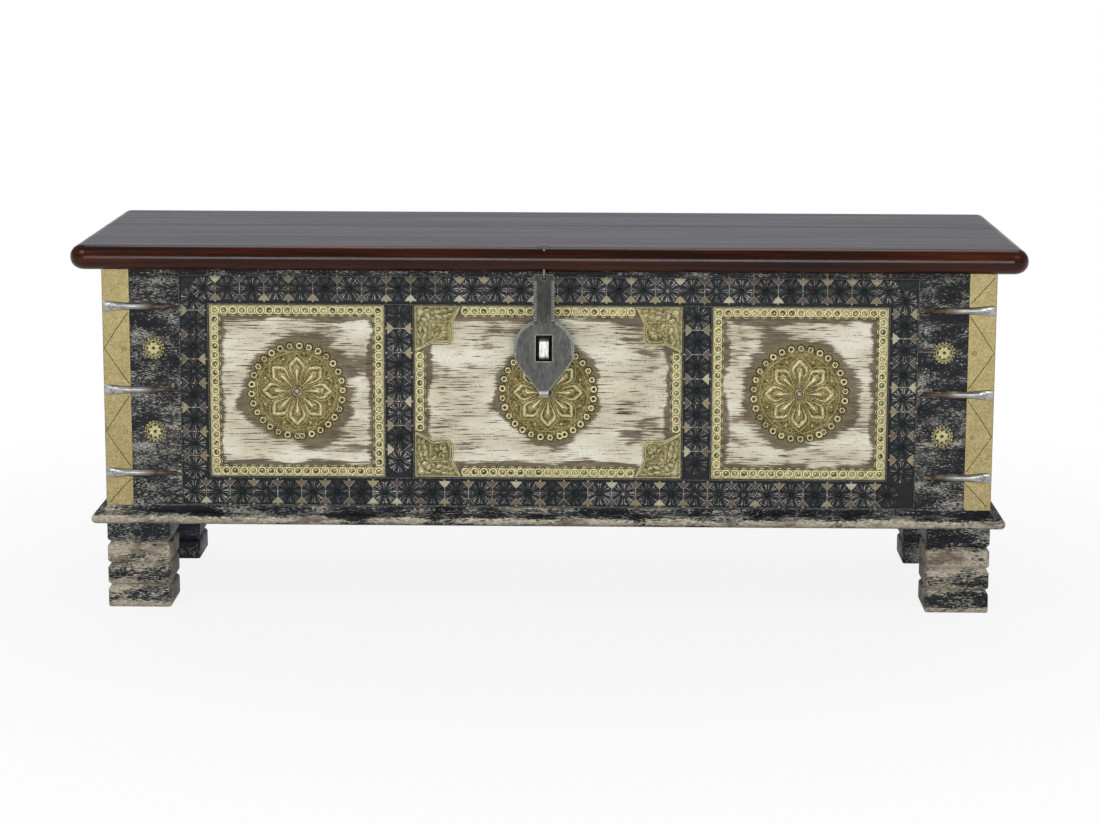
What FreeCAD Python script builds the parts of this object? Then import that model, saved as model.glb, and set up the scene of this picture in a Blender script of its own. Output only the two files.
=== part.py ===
import FreeCAD
import Part
import Sketcher
import math
import os
from types import SimpleNamespace

# Low dowry chest on four grooved feet, with a lid that overhangs all round.
# Frame: +X along the chest, -Y to the front, +Z up, floor at zero under the middle of the lid.
# All sizes are in millimetres.

doc = FreeCAD.newDocument("dowry_chest")

# Driving sizes, each written once: name, value, what it measures.
SIZE_TABLE = [
    ("chest_height", 455, "floor to the top of the lid"),
    ("lid_length", 1160, "lid along the chest, over its rounded ends"),
    ("lid_depth", 400, "lid front to back"),
    ("lid_thickness", 30, "lid boards"),
    ("nosing_flat", 0.6, "flat left between the two rounds of the nosing"),
    ("lid_corner_round", 20, "front corners of the lid seen from above"),
    ("lid_back_board_width", 162, "rear one of the two glued lid boards"),
    ("front_overhang", 30, "lid past the front frame"),
    ("back_overhang", 25, "lid past the back boards"),
    ("end_overhang", 36.5, "lid past each side board"),
    ("lid_gap", 0.3, "air between the closed lid and the rim"),
    ("foot_height", 109, "floor to the underside of the plinth"),
    ("foot_width", 78, "square foot, each way"),
    ("foot_outset", 2, "foot past the side board"),
    ("foot_setback", 2, "foot behind the front frame"),
    ("groove_height", 8, "mouth of each groove cut round a foot"),
    ("groove_depth", 4.2, "depth of each groove cut round a foot"),
    ("foot_bevel", 2, "bevel round the sole of a foot"),
    ("plinth_height", 21, "moulded base frame"),
    ("plinth_projection", 17.5, "base frame past the body"),
    ("plinth_width", 98, "base frame member, tip to inner edge"),
    ("roll_height", 14, "rounded lower edge of the base frame"),
    ("cove_step", 3, "roll to the foot of the cove"),
    ("cove_radius", 16, "hollow between the roll and the body"),
    ("frame_thickness", 22, "stiles, rails and muntins of the front"),
    ("stile_width", 128.5, "front stile, corner to panel opening"),
    ("top_rail_height", 43.7, "front top rail"),
    ("bottom_rail_height", 37, "front bottom rail"),
    ("muntin_width", 36, "upright between two front panels"),
    ("panel_thickness", 12, "front panels"),
    ("panel_setback", 2, "panel face behind the frame face"),
    ("tongue_depth", 7, "panel edge held in the frame"),
    ("groove_room", 1, "air beyond a panel edge in its groove"),
    ("tenon_length", 28, "rail tenon in its stile"),
    ("tenon_thickness", 8, "rail tenon"),
    ("tenon_setback", 7, "tenon behind the frame face"),
    ("tenon_shoulder", 10, "rail edge to its tenon on the panel side"),
    ("tenon_relish", 5, "rail edge to its tenon on the outer side"),
    ("side_thickness", 20, "side boards"),
    ("back_thickness", 20, "back boards"),
    ("board_tongue", 6, "tongue of the lower back board"),
    ("board_tongue_thickness", 7, "tongue of the lower back board"),
    ("floor_thickness", 12, "floor planks"),
    ("floor_gap", 0.5, "air round and between the floor planks"),
    ("plate_thickness", 1.2, "brass corner plates"),
    ("plate_width", 32, "corner plate on the front, and on the side"),
    ("plate_edge_gap", 0.5, "corner plate to the plinth and to the rim"),
    ("plate_corner_round", 4, "lower corner of a corner plate"),
    ("strap_rim_drop", 46.7, "rim of the body to the upper corner strap"),
    ("strap_base_lift", 41, "top of the plinth to the lower corner strap"),
    ("strap_length", 88, "corner strap along the front"),
    ("strap_end_height", 13, "flat end of a strap"),
    ("strap_end_thickness", 3.4, "flat end of a strap, off the wood"),
    ("strap_flat_length", 14.5, "flat end before it draws in"),
    ("strap_draw_length", 11, "length over which the end draws in to a rod"),
    ("strap_rod_height", 8, "half round rod of a strap"),
    ("strap_rod_thickness", 3.8, "half round rod of a strap, off the wood"),
    ("strap_rod_length", 37, "rod before it tapers"),
    ("strap_tip_height", 3, "end of the taper"),
    ("strap_tip_thickness", 1.4, "end of the taper"),
    ("strap_nail_place", 10.5, "corner of the chest to the strap nail"),
    ("strap_nail_reach", 3.2, "diamond head of a strap nail, middle to corner"),
    ("strap_nail_rise", 1.4, "head of a strap nail, off the strap"),
    ("stud_radius", 14, "corner stud over its scallops"),
    ("stud_waist", 12.2, "corner stud at the notches between its scallops"),
    ("stud_thickness", 1.4, "rim of a corner stud"),
    ("stud_rise", 3.2, "dome of a corner stud, off the wood"),
    ("stud_dome_radius", 7, "dome of a corner stud"),
    ("stud_place", 61, "corner of the chest to a stud"),
    ("strip_width", 36, "embossed strips round the panels"),
    ("strip_thickness", 1.5, "embossed strips"),
    ("strip_bead_width", 1.6, "raised bead along each edge of a strip"),
    ("strip_bead_rise", 0.5, "raised bead along each edge of a strip"),
    ("strip_joint_gap", 0.2, "air in the joints of the strips"),
    ("border_width", 15.5, "brass border round a panel"),
    ("border_thickness", 1, "brass border"),
    ("border_edge_gap", 0.5, "border to the panel opening"),
    ("bracket_leg", 57, "brass corner bracket along the opening"),
    ("bracket_thickness", 1.6, "brass corner bracket"),
    ("medallion_thickness", 1.2, "medallion sheet"),
    ("eyelet_thickness", 2.2, "eyelet, off the panel"),
    ("petal_thickness", 2.6, "petal, off the panel"),
    ("hub_radius", 7, "raised hub of a medallion"),
    ("hub_thickness", 3.2, "hub, off the panel"),
    ("medallion_nail_radius", 3.2, "head of a medallion nail"),
    ("medallion_nail_rise", 2, "head of a medallion nail, off the hub"),
    ("lock_offset", -4.9, "middle of the chest to the hasp and staple"),
    ("hasp_stand_off", 18, "front frame to the middle of the hasp"),
    ("hasp_thickness", 2, "hasp plate"),
    ("hasp_pivot_drop", 2.3, "underside of the lid to the hasp axis"),
    ("hasp_neck_width", 25.6, "neck of the hasp"),
    ("hasp_neck_round", 5, "top corners of the hasp"),
    ("hasp_disc_radius", 37, "round part of the hasp"),
    ("disc_lift", 56.7, "middle of a medallion to the height of the disc's middle"),
    ("hasp_tip_width", 11, "hasp where its tip curls"),
    ("hasp_tip_reach", 53, "middle of the disc to the start of the curl"),
    ("curl_radius", 5, "curled tip, to the middle of the plate"),
    ("slot_width", 20, "slot in the hasp"),
    ("slot_height", 32, "slot in the hasp"),
    ("slot_lift", 1, "middle of the slot above the middle of the disc"),
    ("eye_ring_radius", 5.8, "hasp axis to the middle of the eye's wire"),
    ("eye_wire_radius", 1.5, "wire of the eye"),
    ("eye_hole_radius", 2.6, "hole in the hasp for the eye"),
    ("clinch_depth", 2.2, "shallow recess for the clinched ends of the eye"),
    ("clinch_radius", 7.6, "reach of the clinched ends"),
    ("clinch_waist", 3.4, "middle of the clinched ends to the notch between two"),
    ("clinch_thickness", 1.8, "clinched ends"),
    ("staple_width", 11.4, "flat bar of the staple"),
    ("staple_height", 24.5, "staple over its legs"),
    ("staple_thickness", 2.4, "flat bar of the staple"),
    ("staple_gap", 0.6, "front of the staple to the back of the hasp"),
    ("staple_drop", 2, "middle of the staple below the middle of the slot"),
    ("staple_bend", 4, "outer radius of the bends of the staple"),
    ("staple_clinch", 9, "turned leg of the staple inside the chest"),
    ("staple_notch_room", 1, "air round the staple in the middle medallion"),
    ("hinge_inset", 213.5, "end of the body to the middle of a hinge"),
    ("hinge_length", 66, "hinge along its pin"),
    ("leaf_thickness", 2, "hinge leaves"),
    ("leaf_drop", 40, "hinge axis to the lower edge of the body leaf"),
    ("lid_leaf_reach", 31, "hinge axis to the front edge of the lid leaf"),
    ("knuckle_radius", 4.5, "hinge knuckles"),
    ("pin_radius", 2.5, "hinge pin"),
    ("pin_room", 0.05, "air round the hinge pin"),
    ("hinge_gap", 0.3, "air between moving parts of a hinge"),
    ("mortise_room", 0.5, "air round the lid leaf in the back board"),
    ("fit_room", 0.05, "air round the legs of the staple and of the eye"),
    ("batten_room", 17, "end of a batten to the front frame, and to the back boards"),
    ("batten_width", 44, "batten under the lid"),
    ("batten_thickness", 18, "batten under the lid"),
    ("batten_inset", 113.5, "end of the body to the middle of a batten"),
    ("batten_bevel", 8, "bevelled ends of a batten"),
    ("cut_over", 6, "overrun of every cut past the piece it cuts"),
]

# Counts.
GROOVES_PER_FOOT = 3
STRAPS_PER_CORNER = 3
FLOOR_PLANKS = ("front", "middle", "back")
STUD_LOBES = 12
EYELETS = 30
EYELET_SIDES = 6
PETALS = 8
HUB_SIDES = 16
DOME_SIDES = 10
CLINCHED_ENDS = 4
WIRE_SIDES = 6

# Places and outlines as shares of the size that they follow.
MUNTIN_PLACE_SHARE = 0.4386
MEDALLION_RADIUS_SHARE = 0.285
EYELET_SHARE = 0.0787
PETAL_REACH_SHARE = 0.754
BRACKET_SHARES = ((0, 0), (1, 0), (0.81, 0.41), (0.83, 0.45), (0.83, 0.74),
                  (0.74, 0.83), (0.45, 0.83), (0.41, 0.81), (0, 1))
HASP_SHOULDER_SHARES = (0.787, -0.617)
PETAL_WIDEST_SHARES = (0.245, 0.62)
PETAL_ROOT_SHARES = (0.03, 0.11)
STRAP_SECTION_SHARES = ((0, 0.5), (0.7, 0.4), (1, 0.18), (1, -0.18), (0.7, -0.4), (0, -0.5))
DOME_SHARES = ((1, 0), (0.78, 0.66), (0.3, 1))

# Turns, in degrees.
FULL_TURN = 360.0
CURL_TURN = 140.0
PLINTH_TURNS = {"front": 0.0, "right": 90.0, "back": 180.0, "left": 270.0}

SIDES = (("left", -1), ("right", 1))


# A size that keeps its sheet formula, so that whatever is worked out from it stays bound to the sheet.
class Size:
    def __init__(self, value, formula):
        self.value = float(value)
        self.formula = formula

    def __float__(self):
        return self.value

    def __add__(self, other):
        other = as_size(other)
        return Size(self.value + other.value, f"({self.formula} + {other.formula})")

    def __sub__(self, other):
        other = as_size(other)
        return Size(self.value - other.value, f"({self.formula} - {other.formula})")

    def __mul__(self, other):
        other = as_size(other)
        return Size(self.value * other.value, f"({self.formula} * {other.formula})")

    def __rmul__(self, other):
        return as_size(other) * self

    def __truediv__(self, other):
        other = as_size(other)
        return Size(self.value / other.value, f"({self.formula} / {other.formula})")

    def __neg__(self):
        return Size(-self.value, f"(0 - {self.formula})")


def as_size(number):
    if isinstance(number, Size):
        return number
    return Size(number, f"({float(number)!r})")


def root(square):
    return Size(math.sqrt(square.value), f"sqrt({square.formula})")


def driving_sizes():
    sheet = doc.addObject("Spreadsheet::Sheet", "Sizes")
    named = SimpleNamespace()
    for row, (alias, value, meaning) in enumerate(SIZE_TABLE, start=1):
        sheet.set(f"A{row}", alias)
        sheet.set(f"B{row}", str(value))
        sheet.set(f"C{row}", meaning)
        sheet.setAlias(f"B{row}", alias)
        setattr(named, alias, Size(value, f"Sizes.{alias}"))
    doc.recompute()
    return named


s = driving_sizes()
zero = as_size(0)

# Places that many pieces share.
half_length = s.lid_length / 2 - s.end_overhang
front = s.front_overhang - s.lid_depth / 2
back = s.lid_depth / 2 - s.back_overhang
base = s.foot_height + s.plinth_height
lid_under = s.chest_height - s.lid_thickness
lid_joint = s.lid_depth / 2 - s.lid_back_board_width
rim = lid_under - s.lid_gap
frame_back = front + s.frame_thickness
back_inner = back - s.back_thickness
opening_low = base + s.bottom_rail_height
opening_high = rim - s.top_rail_height
opening_edge = half_length - s.stile_width
muntin_place = MUNTIN_PLACE_SHARE * opening_edge
muntin_inner = muntin_place - s.muntin_width / 2
muntin_outer = muntin_place + s.muntin_width / 2
panel_face = front + s.panel_setback
panel_back = panel_face + s.panel_thickness
medallion_height = (opening_low + opening_high) / 2
medallion_place = (muntin_outer + opening_edge) / 2
medallion_radius = MEDALLION_RADIUS_SHARE * (opening_high - opening_low)
hasp_plane = front - s.hasp_stand_off
hasp_axis = lid_under - s.hasp_pivot_drop
disc_drop = hasp_axis - medallion_height - s.disc_lift
staple_middle = hasp_axis - disc_drop + s.slot_lift - s.staple_drop
hinge_place = half_length - s.hinge_inset
hinge_axis_y = back + s.knuckle_radius + s.hinge_gap
hinge_axis_z = lid_under - s.knuckle_radius - s.hinge_gap

PANELS = {
    "left": (-opening_edge, -muntin_outer),
    "centre": (-muntin_inner, muntin_inner),
    "right": (muntin_outer, opening_edge),
}
MEDALLIONS = {"left": -medallion_place, "centre": zero, "right": medallion_place}

finished = {}


def finish(obj, label):
    """Give a finished sub-part its label, which names its file."""
    obj.Label = label
    finished[label] = obj
    return obj


def bind(obj, **sizes):
    for name, size in sizes.items():
        obj.setExpression(name, as_size(size).formula)
    return obj


def place(obj, x=zero, y=zero, level=zero, turn=0.0):
    """Turn an object about the upright axis, then move it. The move stays bound to the sheet."""
    rotation = FreeCAD.Rotation(FreeCAD.Vector(0, 0, 1), turn)
    obj.Placement = FreeCAD.Placement(FreeCAD.Vector(), rotation)
    for letter, size in zip("xyz", (x, y, level)):
        obj.setExpression(f"Placement.Base.{letter}", as_size(size).formula)
    return obj


def block(name, low, high):
    """Rectangular block between two corners, each an (x, y, z) of sizes."""
    obj = doc.addObject("Part::Box", name)
    length, width, height = (b - a for a, b in zip(low, high))
    bind(obj, Length=length, Width=width, Height=height)
    return place(obj, *low)


def rod(name, radius, length, x, y, level):
    """Upright round rod, standing on a point."""
    obj = doc.addObject("Part::Cylinder", name)
    bind(obj, Radius=radius, Height=length)
    return place(obj, x, y, level)


def joined(name, *pieces):
    if len(pieces) == 1:
        return pieces[0]
    obj = doc.addObject("Part::MultiFuse", name)
    obj.Shapes = list(pieces)
    return obj


def without(name, solid, *tools):
    obj = doc.addObject("Part::Cut", name)
    obj.Base = solid
    obj.Tool = joined(name + "_tools", *tools)
    return obj


def within(name, solid, room):
    obj = doc.addObject("Part::Common", name)
    obj.Base = solid
    obj.Tool = room
    return obj


def group(label, members):
    """Several separate solids of one kind, kept under one name."""
    obj = doc.addObject("Part::Compound", label + "_group")
    obj.Links = members
    return finish(obj, label)


def new_body(name):
    return doc.addObject("PartDesign::Body", name)


def origin_feature(body, role):
    return next(o for o in body.Origin.OriginFeatures if o.Role == role)


def sketch_on(body, role, name, offset=zero):
    """Sketch on one of the body's own planes, moved along the plane's normal."""
    sketch = body.newObject("Sketcher::SketchObject", name)
    sketch.AttachmentSupport = [(origin_feature(body, role), "")]
    sketch.MapMode = "FlatFace"
    sketch.setExpression("AttachmentOffset.Base.z", offset.formula)
    return sketch


def arc_between(start, end, radius, side):
    """The short arc of a radius from start to end. Side +1 has its centre on the left."""
    chord = end - start
    half = chord.Length / 2
    rise = math.sqrt(max(radius * radius - half * half, 0.0))
    left = FreeCAD.Vector(-chord.y, chord.x, 0).normalize()
    centre = (start + end) / 2 + left * (rise * side)
    first, last = (start, end) if side > 0 else (end, start)
    from_angle = math.atan2(first.y - centre.y, first.x - centre.x)
    to_angle = math.atan2(last.y - centre.y, last.x - centre.x)
    circle = Part.Circle(centre, FreeCAD.Vector(0, 0, 1), max(radius, half))
    return Part.ArcOfCircle(circle, from_angle, to_angle)


def tie(sketch, kind, name, size, *ends):
    """One dimension of a sketch, bound to the sheet."""
    number = sketch.addConstraint(Sketcher.Constraint(kind, *ends, as_size(size).value))
    sketch.renameConstraint(number, name)
    sketch.setExpression(f"Constraints.{name}", as_size(size).formula)


def outline(sketch, points, closed=True):
    """Lines and arcs through points: (u, v), or (u, v, radius, side) to arrive by an arc."""
    corners = [FreeCAD.Vector(float(p[0]), float(p[1]), 0) for p in points]
    first = sketch.GeometryCount
    count = len(points) if closed else len(points) - 1
    ends = []
    for i in range(count):
        j = (i + 1) % len(points)
        start, end = corners[i], corners[j]
        if len(points[j]) > 2:
            radius, side = points[j][2:]
            index = sketch.addGeometry(arc_between(start, end, float(radius), side))
            tie(sketch, "Radius", f"radius_{index}", radius, index)
            ends.append((index, 1, 2) if side > 0 else (index, 2, 1))
        else:
            index = sketch.addGeometry(Part.LineSegment(start, end))
            ends.append((index, 1, 2))
    for i in range(count if closed else count - 1):
        here, there = ends[i], ends[(i + 1) % count]
        sketch.addConstraint(Sketcher.Constraint("Coincident", here[0], here[2], there[0], there[1]))
    for i, point in enumerate(points):
        index, pos = (ends[i][0], ends[i][1]) if i < count else (ends[-1][0], ends[-1][2])
        pin(sketch, index, pos, point, f"{first}_{i}")
    return sketch


def pin(sketch, index, pos, point, name):
    """Hold a point of the sketch at its two distances from the origin."""
    tie(sketch, "DistanceX", f"u_{name}", point[0], -1, 1, index, pos)
    tie(sketch, "DistanceY", f"v_{name}", point[1], -1, 1, index, pos)


def circle_in(sketch, u, v, radius):
    centre = FreeCAD.Vector(float(u), float(v), 0)
    index = sketch.addGeometry(Part.Circle(centre, FreeCAD.Vector(0, 0, 1), float(radius)))
    tie(sketch, "Radius", f"radius_{index}", radius, index)
    pin(sketch, index, 3, (u, v), f"middle_{index}")
    return sketch


def flipped(points, side):
    """The same outline for the left side: reflected across the sketch's upright axis."""
    if side > 0:
        return points
    return [(-p[0], p[1]) if len(p) == 2 else (-p[0], p[1], p[2], -p[3]) for p in points]


def pad(body, sketch, length, both_ways=False):
    feature = body.newObject("PartDesign::Pad", sketch.Name + "_pad")
    feature.Profile = sketch
    feature.SideType = "Symmetric" if both_ways else "One side"
    return bind(feature, Length=length)


def pocket(body, sketch, length):
    """Cut a sketch into its body both ways, and make sure that it cut something."""
    doc.recompute()
    before = body.Shape.Volume
    feature = body.newObject("PartDesign::Pocket", sketch.Name + "_pocket")
    feature.Profile = sketch
    feature.SideType = "Symmetric"
    bind(feature, Length=length)
    doc.recompute()
    if not body.Shape.Volume < before:
        raise RuntimeError(f"{feature.Name} cuts nothing")
    return feature


def turned(body, sketch, axis="V_Axis", angle=FULL_TURN, backwards=False):
    feature = body.newObject("PartDesign::Revolution", sketch.Name + "_turned")
    feature.Profile = sketch
    feature.ReferenceAxis = (sketch, [axis])
    feature.Angle = angle
    feature.Reversed = backwards
    return feature


def around(body, feature, name, count):
    """Repeat a feature evenly round the line that runs front to back through the body's origin."""
    doc.recompute()
    pattern = body.newObject("PartDesign::PolarPattern", name)
    pattern.Originals = [feature]
    pattern.Axis = (origin_feature(body, "Y_Axis"), [""])
    pattern.Angle = FULL_TURN
    pattern.Occurrences = count
    body.Tip = pattern
    return pattern


def corners_around(reaches):
    """Corners evenly round the sketch's origin, each at its own reach."""
    step = 2 * math.pi / len(reaches)
    return [
        (round(math.cos(i * step), 6) * reach, round(math.sin(i * step), 6) * reach)
        for i, reach in enumerate(reaches)
    ]


def domed(body, name, radius, rise, foot):
    """A low faceted dome in two slopes, standing on its foot in front of the sketch plane."""
    levels = []
    for i, (reach, height) in enumerate(DOME_SHARES):
        sketch = sketch_on(body, "XZ_Plane", f"{name}_{i}", foot + height * rise)
        levels.append(outline(sketch, corners_around([reach * radius] * DOME_SIDES)))
    return lofted(body, levels, name + "_loft")


def lofted(body, sections, name):
    """Straight surfaces from each section to the next."""
    loft = body.newObject("PartDesign::AdditiveLoft", name)
    loft.Profile = sections[0]
    loft.Sections = sections[1:]
    loft.Ruled = True
    return loft


# Lid: two glued boards cut from one rounded blank, so that the nosing runs on across their joint.
def lid_boards():
    blank = block(
        "lid_blank",
        (-s.lid_length / 2, -s.lid_depth / 2, lid_under),
        (s.lid_length / 2, s.lid_depth / 2, s.chest_height),
    )
    doc.recompute()
    cornered = rounded("lid_cornered", blank, s.lid_corner_round, is_front_upright)
    doc.recompute()
    nosing = (s.lid_thickness - s.nosing_flat) / 2
    shaped = rounded("lid_shaped", cornered, nosing, is_nosing_edge)
    over = s.cut_over
    low = (-s.lid_length / 2 - over, -s.lid_depth / 2 - over, lid_under - over)
    high = (s.lid_length / 2 + over, s.lid_depth / 2 + over, s.chest_height + over)
    front_half = block("lid_front_half", low, (high[0], lid_joint, high[2]))
    back_half = block("lid_back_half", (low[0], lid_joint, low[2]), high)
    cuts = [
        rod(f"eye_leg_hole_{word}", s.eye_wire_radius + s.fit_room, s.lid_thickness + 2 * over,
            s.lock_offset, hasp_plane + side * s.eye_ring_radius, low[2])
        for word, side in (("front", -1), ("back", 1))
    ]
    cuts.append(rod("clinch_recess", s.clinch_radius + s.fit_room, s.clinch_depth + over,
                    s.lock_offset, hasp_plane, s.chest_height - s.clinch_depth))
    finish(without("lid_front", within("lid_front_whole", shaped, front_half), *cuts),
           "lid_front_board")
    finish(within("lid_back", shaped, back_half), "lid_back_board")


def rounded(name, solid, radius, wanted):
    """Round the edges of a solid that a test picks out."""
    chosen = [i for i, edge in enumerate(solid.Shape.Edges, start=1) if wanted(edge)]
    obj = doc.addObject("Part::Fillet", name)
    obj.Base = solid
    obj.Edges = [(i, radius.value, radius.value) for i in chosen]
    return obj


def is_front_upright(edge):
    box = edge.BoundBox
    return box.ZLength > s.lid_thickness.value / 2 and box.YMax < 0


def is_nosing_edge(edge):
    box = edge.BoundBox
    at_back = box.YMin > lid_joint.value
    return box.ZLength < s.lid_thickness.value / 2 and not (at_back and box.YLength < box.XLength)


# Battens under the lid keep its boards flat and drop inside the walls.
def battens():
    front_end = frame_back + s.batten_room
    back_end = back_inner - s.batten_room
    for word, side in SIDES:
        label = f"lid_batten_{word}"
        body = new_body(label + "_body")
        low = lid_under - s.batten_thickness
        profile = outline(sketch_on(body, "YZ_Plane", label + "_profile"), [
            (front_end, lid_under),
            (front_end, low + s.batten_bevel),
            (front_end + s.batten_bevel, low),
            (back_end - s.batten_bevel, low),
            (back_end, low + s.batten_bevel),
            (back_end, lid_under),
        ])
        pad(body, profile, s.batten_width, both_ways=True)
        place(body, side * (half_length - s.batten_inset))
        finish(body, label)


# Feet: square blocks with V grooves sawn round all four faces and a bevelled sole.
def foot(label, side, end):
    body = new_body(label + "_body")
    half = s.foot_width / 2
    over = s.cut_over
    blank = outline(sketch_on(body, "XZ_Plane", label + "_blank"), [
        (-half, zero),
        (half, zero),
        (half, s.foot_height),
        (-half, s.foot_height),
    ])
    pad(body, blank, s.foot_width, both_ways=True)
    slope = s.groove_height / (2 * s.groove_depth)
    mouth = slope * (s.groove_depth + over)
    for role in ("XZ_Plane", "YZ_Plane"):
        cuts = sketch_on(body, role, f"{label}_cuts_{role[:2]}")
        for way in (-1, 1):
            for step in range(1, GROOVES_PER_FOOT + 1):
                level = step * s.foot_height / (GROOVES_PER_FOOT + 1)
                outline(cuts, flipped([
                    (half - s.groove_depth, level),
                    (half + over, level - mouth),
                    (half + over, level + mouth),
                ], way))
            outline(cuts, flipped([
                (half - s.foot_bevel - over, -over),
                (half + over, -over),
                (half + over, s.foot_bevel + over),
            ], way))
        pocket(body, cuts, s.foot_width + 2 * over)
    x = side * (half_length + s.foot_outset - half)
    y = front + s.foot_setback + half if end == "front" else back - half
    place(body, x, y)
    finish(body, label)


# Plinth: four moulded members, mitred where they meet, that project all round under the body.
def plinth_member(word, half_run, x, y):
    label = f"plinth_{word}"
    body = new_body(label + "_body")
    over = s.cut_over
    tip = -s.plinth_projection
    inner = s.plinth_width - s.plinth_projection
    roll = s.roll_height / 2
    profile = outline(sketch_on(body, "YZ_Plane", label + "_profile"), [
        (inner, s.foot_height),
        (inner, base),
        (zero, base),
        (tip + roll + s.cove_step, s.foot_height + s.roll_height, s.cove_radius, -1),
        (tip + roll, s.foot_height + s.roll_height),
        (tip, s.foot_height + roll, roll, 1),
        (tip + roll, s.foot_height, roll, 1),
    ])
    pad(body, profile, 2 * (half_run + s.plinth_projection), both_ways=True)
    mitres = sketch_on(body, "XY_Plane", label + "_mitres", base)
    for way in (-1, 1):
        outline(mitres, flipped([
            (half_run + s.plinth_projection + over, tip - over),
            (half_run + s.plinth_projection + over, inner + over),
            (half_run - inner - over, inner + over),
        ], way))
    pocket(body, mitres, 2 * (s.plinth_height + over))
    place(body, x, y, zero, PLINTH_TURNS[word])
    finish(body, label)


def plinth_and_feet():
    middle = (front + back) / 2
    half_depth = (back - front) / 2
    plinth_member("front", half_length, zero, front)
    plinth_member("right", half_depth, half_length, middle)
    plinth_member("back", half_length, zero, back)
    plinth_member("left", half_depth, -half_length, middle)
    for end in ("front", "back"):
        for word, side in SIDES:
            foot(f"foot_{end}_{word}", side, end)


# Front frame: stiles, rails and muntins grooved for the three panels, rails tenoned into the stiles.
def panel_room(name, word):
    """The space that a panel takes in its grooves, with air past its edges."""
    x0, x1 = PANELS[word]
    reach = s.tongue_depth + s.groove_room
    return block(name, (x0 - reach, panel_face, opening_low - reach),
                 (x1 + reach, panel_back, opening_high + reach))


def rail_tenon(name, side, level, room=zero):
    low, high = {
        "top": (opening_high + s.tenon_shoulder, rim - s.tenon_relish),
        "bottom": (base + s.tenon_relish, opening_low - s.tenon_shoulder),
    }[level]
    near = opening_edge
    far = opening_edge + s.tenon_length + room
    x0, x1 = (near, far) if side > 0 else (-far, -near)
    y0 = front + s.tenon_setback
    return block(name, (x0, y0, low), (x1, y0 + s.tenon_thickness, high))


def muntin_tenon(name, side, level, room=zero):
    """Stub tenon of a muntin in a rail, clear of the edges of the panels beside it."""
    half = s.muntin_width / 2 - s.tongue_depth - 2 * s.groove_room
    middle = side * muntin_place
    reach = s.tongue_depth + room
    z0, z1 = (opening_high, opening_high + reach)
    if level == "bottom":
        z0, z1 = (opening_low - reach, opening_low)
    return block(name, (middle - half, panel_face, z0), (middle + half, panel_back, z1))


def front_frame():
    for word, side in SIDES:
        label = f"front_{word}_stile"
        x0, x1 = (opening_edge, half_length) if side > 0 else (-half_length, -opening_edge)
        blank = block(label + "_blank", (x0, front, base), (x1, frame_back, rim))
        cuts = [panel_room(label + "_groove", word)]
        for level in ("top", "bottom"):
            cuts.append(rail_tenon(f"{label}_mortise_{level}", side, level, s.groove_room))
        finish(without(label, blank, *cuts), label)
    for level, z0, z1 in (("top", opening_high, rim), ("bottom", base, opening_low)):
        label = f"front_{level}_rail"
        blank = block(label + "_blank", (-opening_edge, front, z0), (opening_edge, frame_back, z1))
        cuts = [panel_room(f"{label}_groove_{word}", word) for word in PANELS]
        for word, side in SIDES:
            cuts.append(muntin_tenon(f"{label}_socket_{word}", side, level, s.groove_room))
        tenons = [rail_tenon(f"{label}_tenon_{word}", side, level) for word, side in SIDES]
        finish(joined(label, without(label + "_cut", blank, *cuts), *tenons), label)
    for word, side in SIDES:
        label = f"front_{word}_muntin"
        x0, x1 = (muntin_inner, muntin_outer) if side > 0 else (-muntin_outer, -muntin_inner)
        blank = block(label + "_blank", (x0, front, opening_low), (x1, frame_back, opening_high))
        cut = without(label + "_cut", blank, panel_room(label + "_outer_groove", word),
                      panel_room(label + "_inner_groove", "centre"))
        tenons = [muntin_tenon(f"{label}_tenon_{end}", side, end) for end in ("top", "bottom")]
        finish(joined(label, cut, *tenons), label)


# Front panels: the edges all round are held in the grooves of the frame.
def panels():
    for word, (x0, x1) in PANELS.items():
        label = f"front_{word}_panel"
        reach = s.tongue_depth
        blank = block(label + "_blank", (x0 - reach, panel_face, opening_low - reach),
                      (x1 + reach, panel_back, opening_high + reach))
        if word == "centre":
            blank = without(label + "_cut", blank, *staple_leg_slots(label))
        finish(blank, label)


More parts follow.
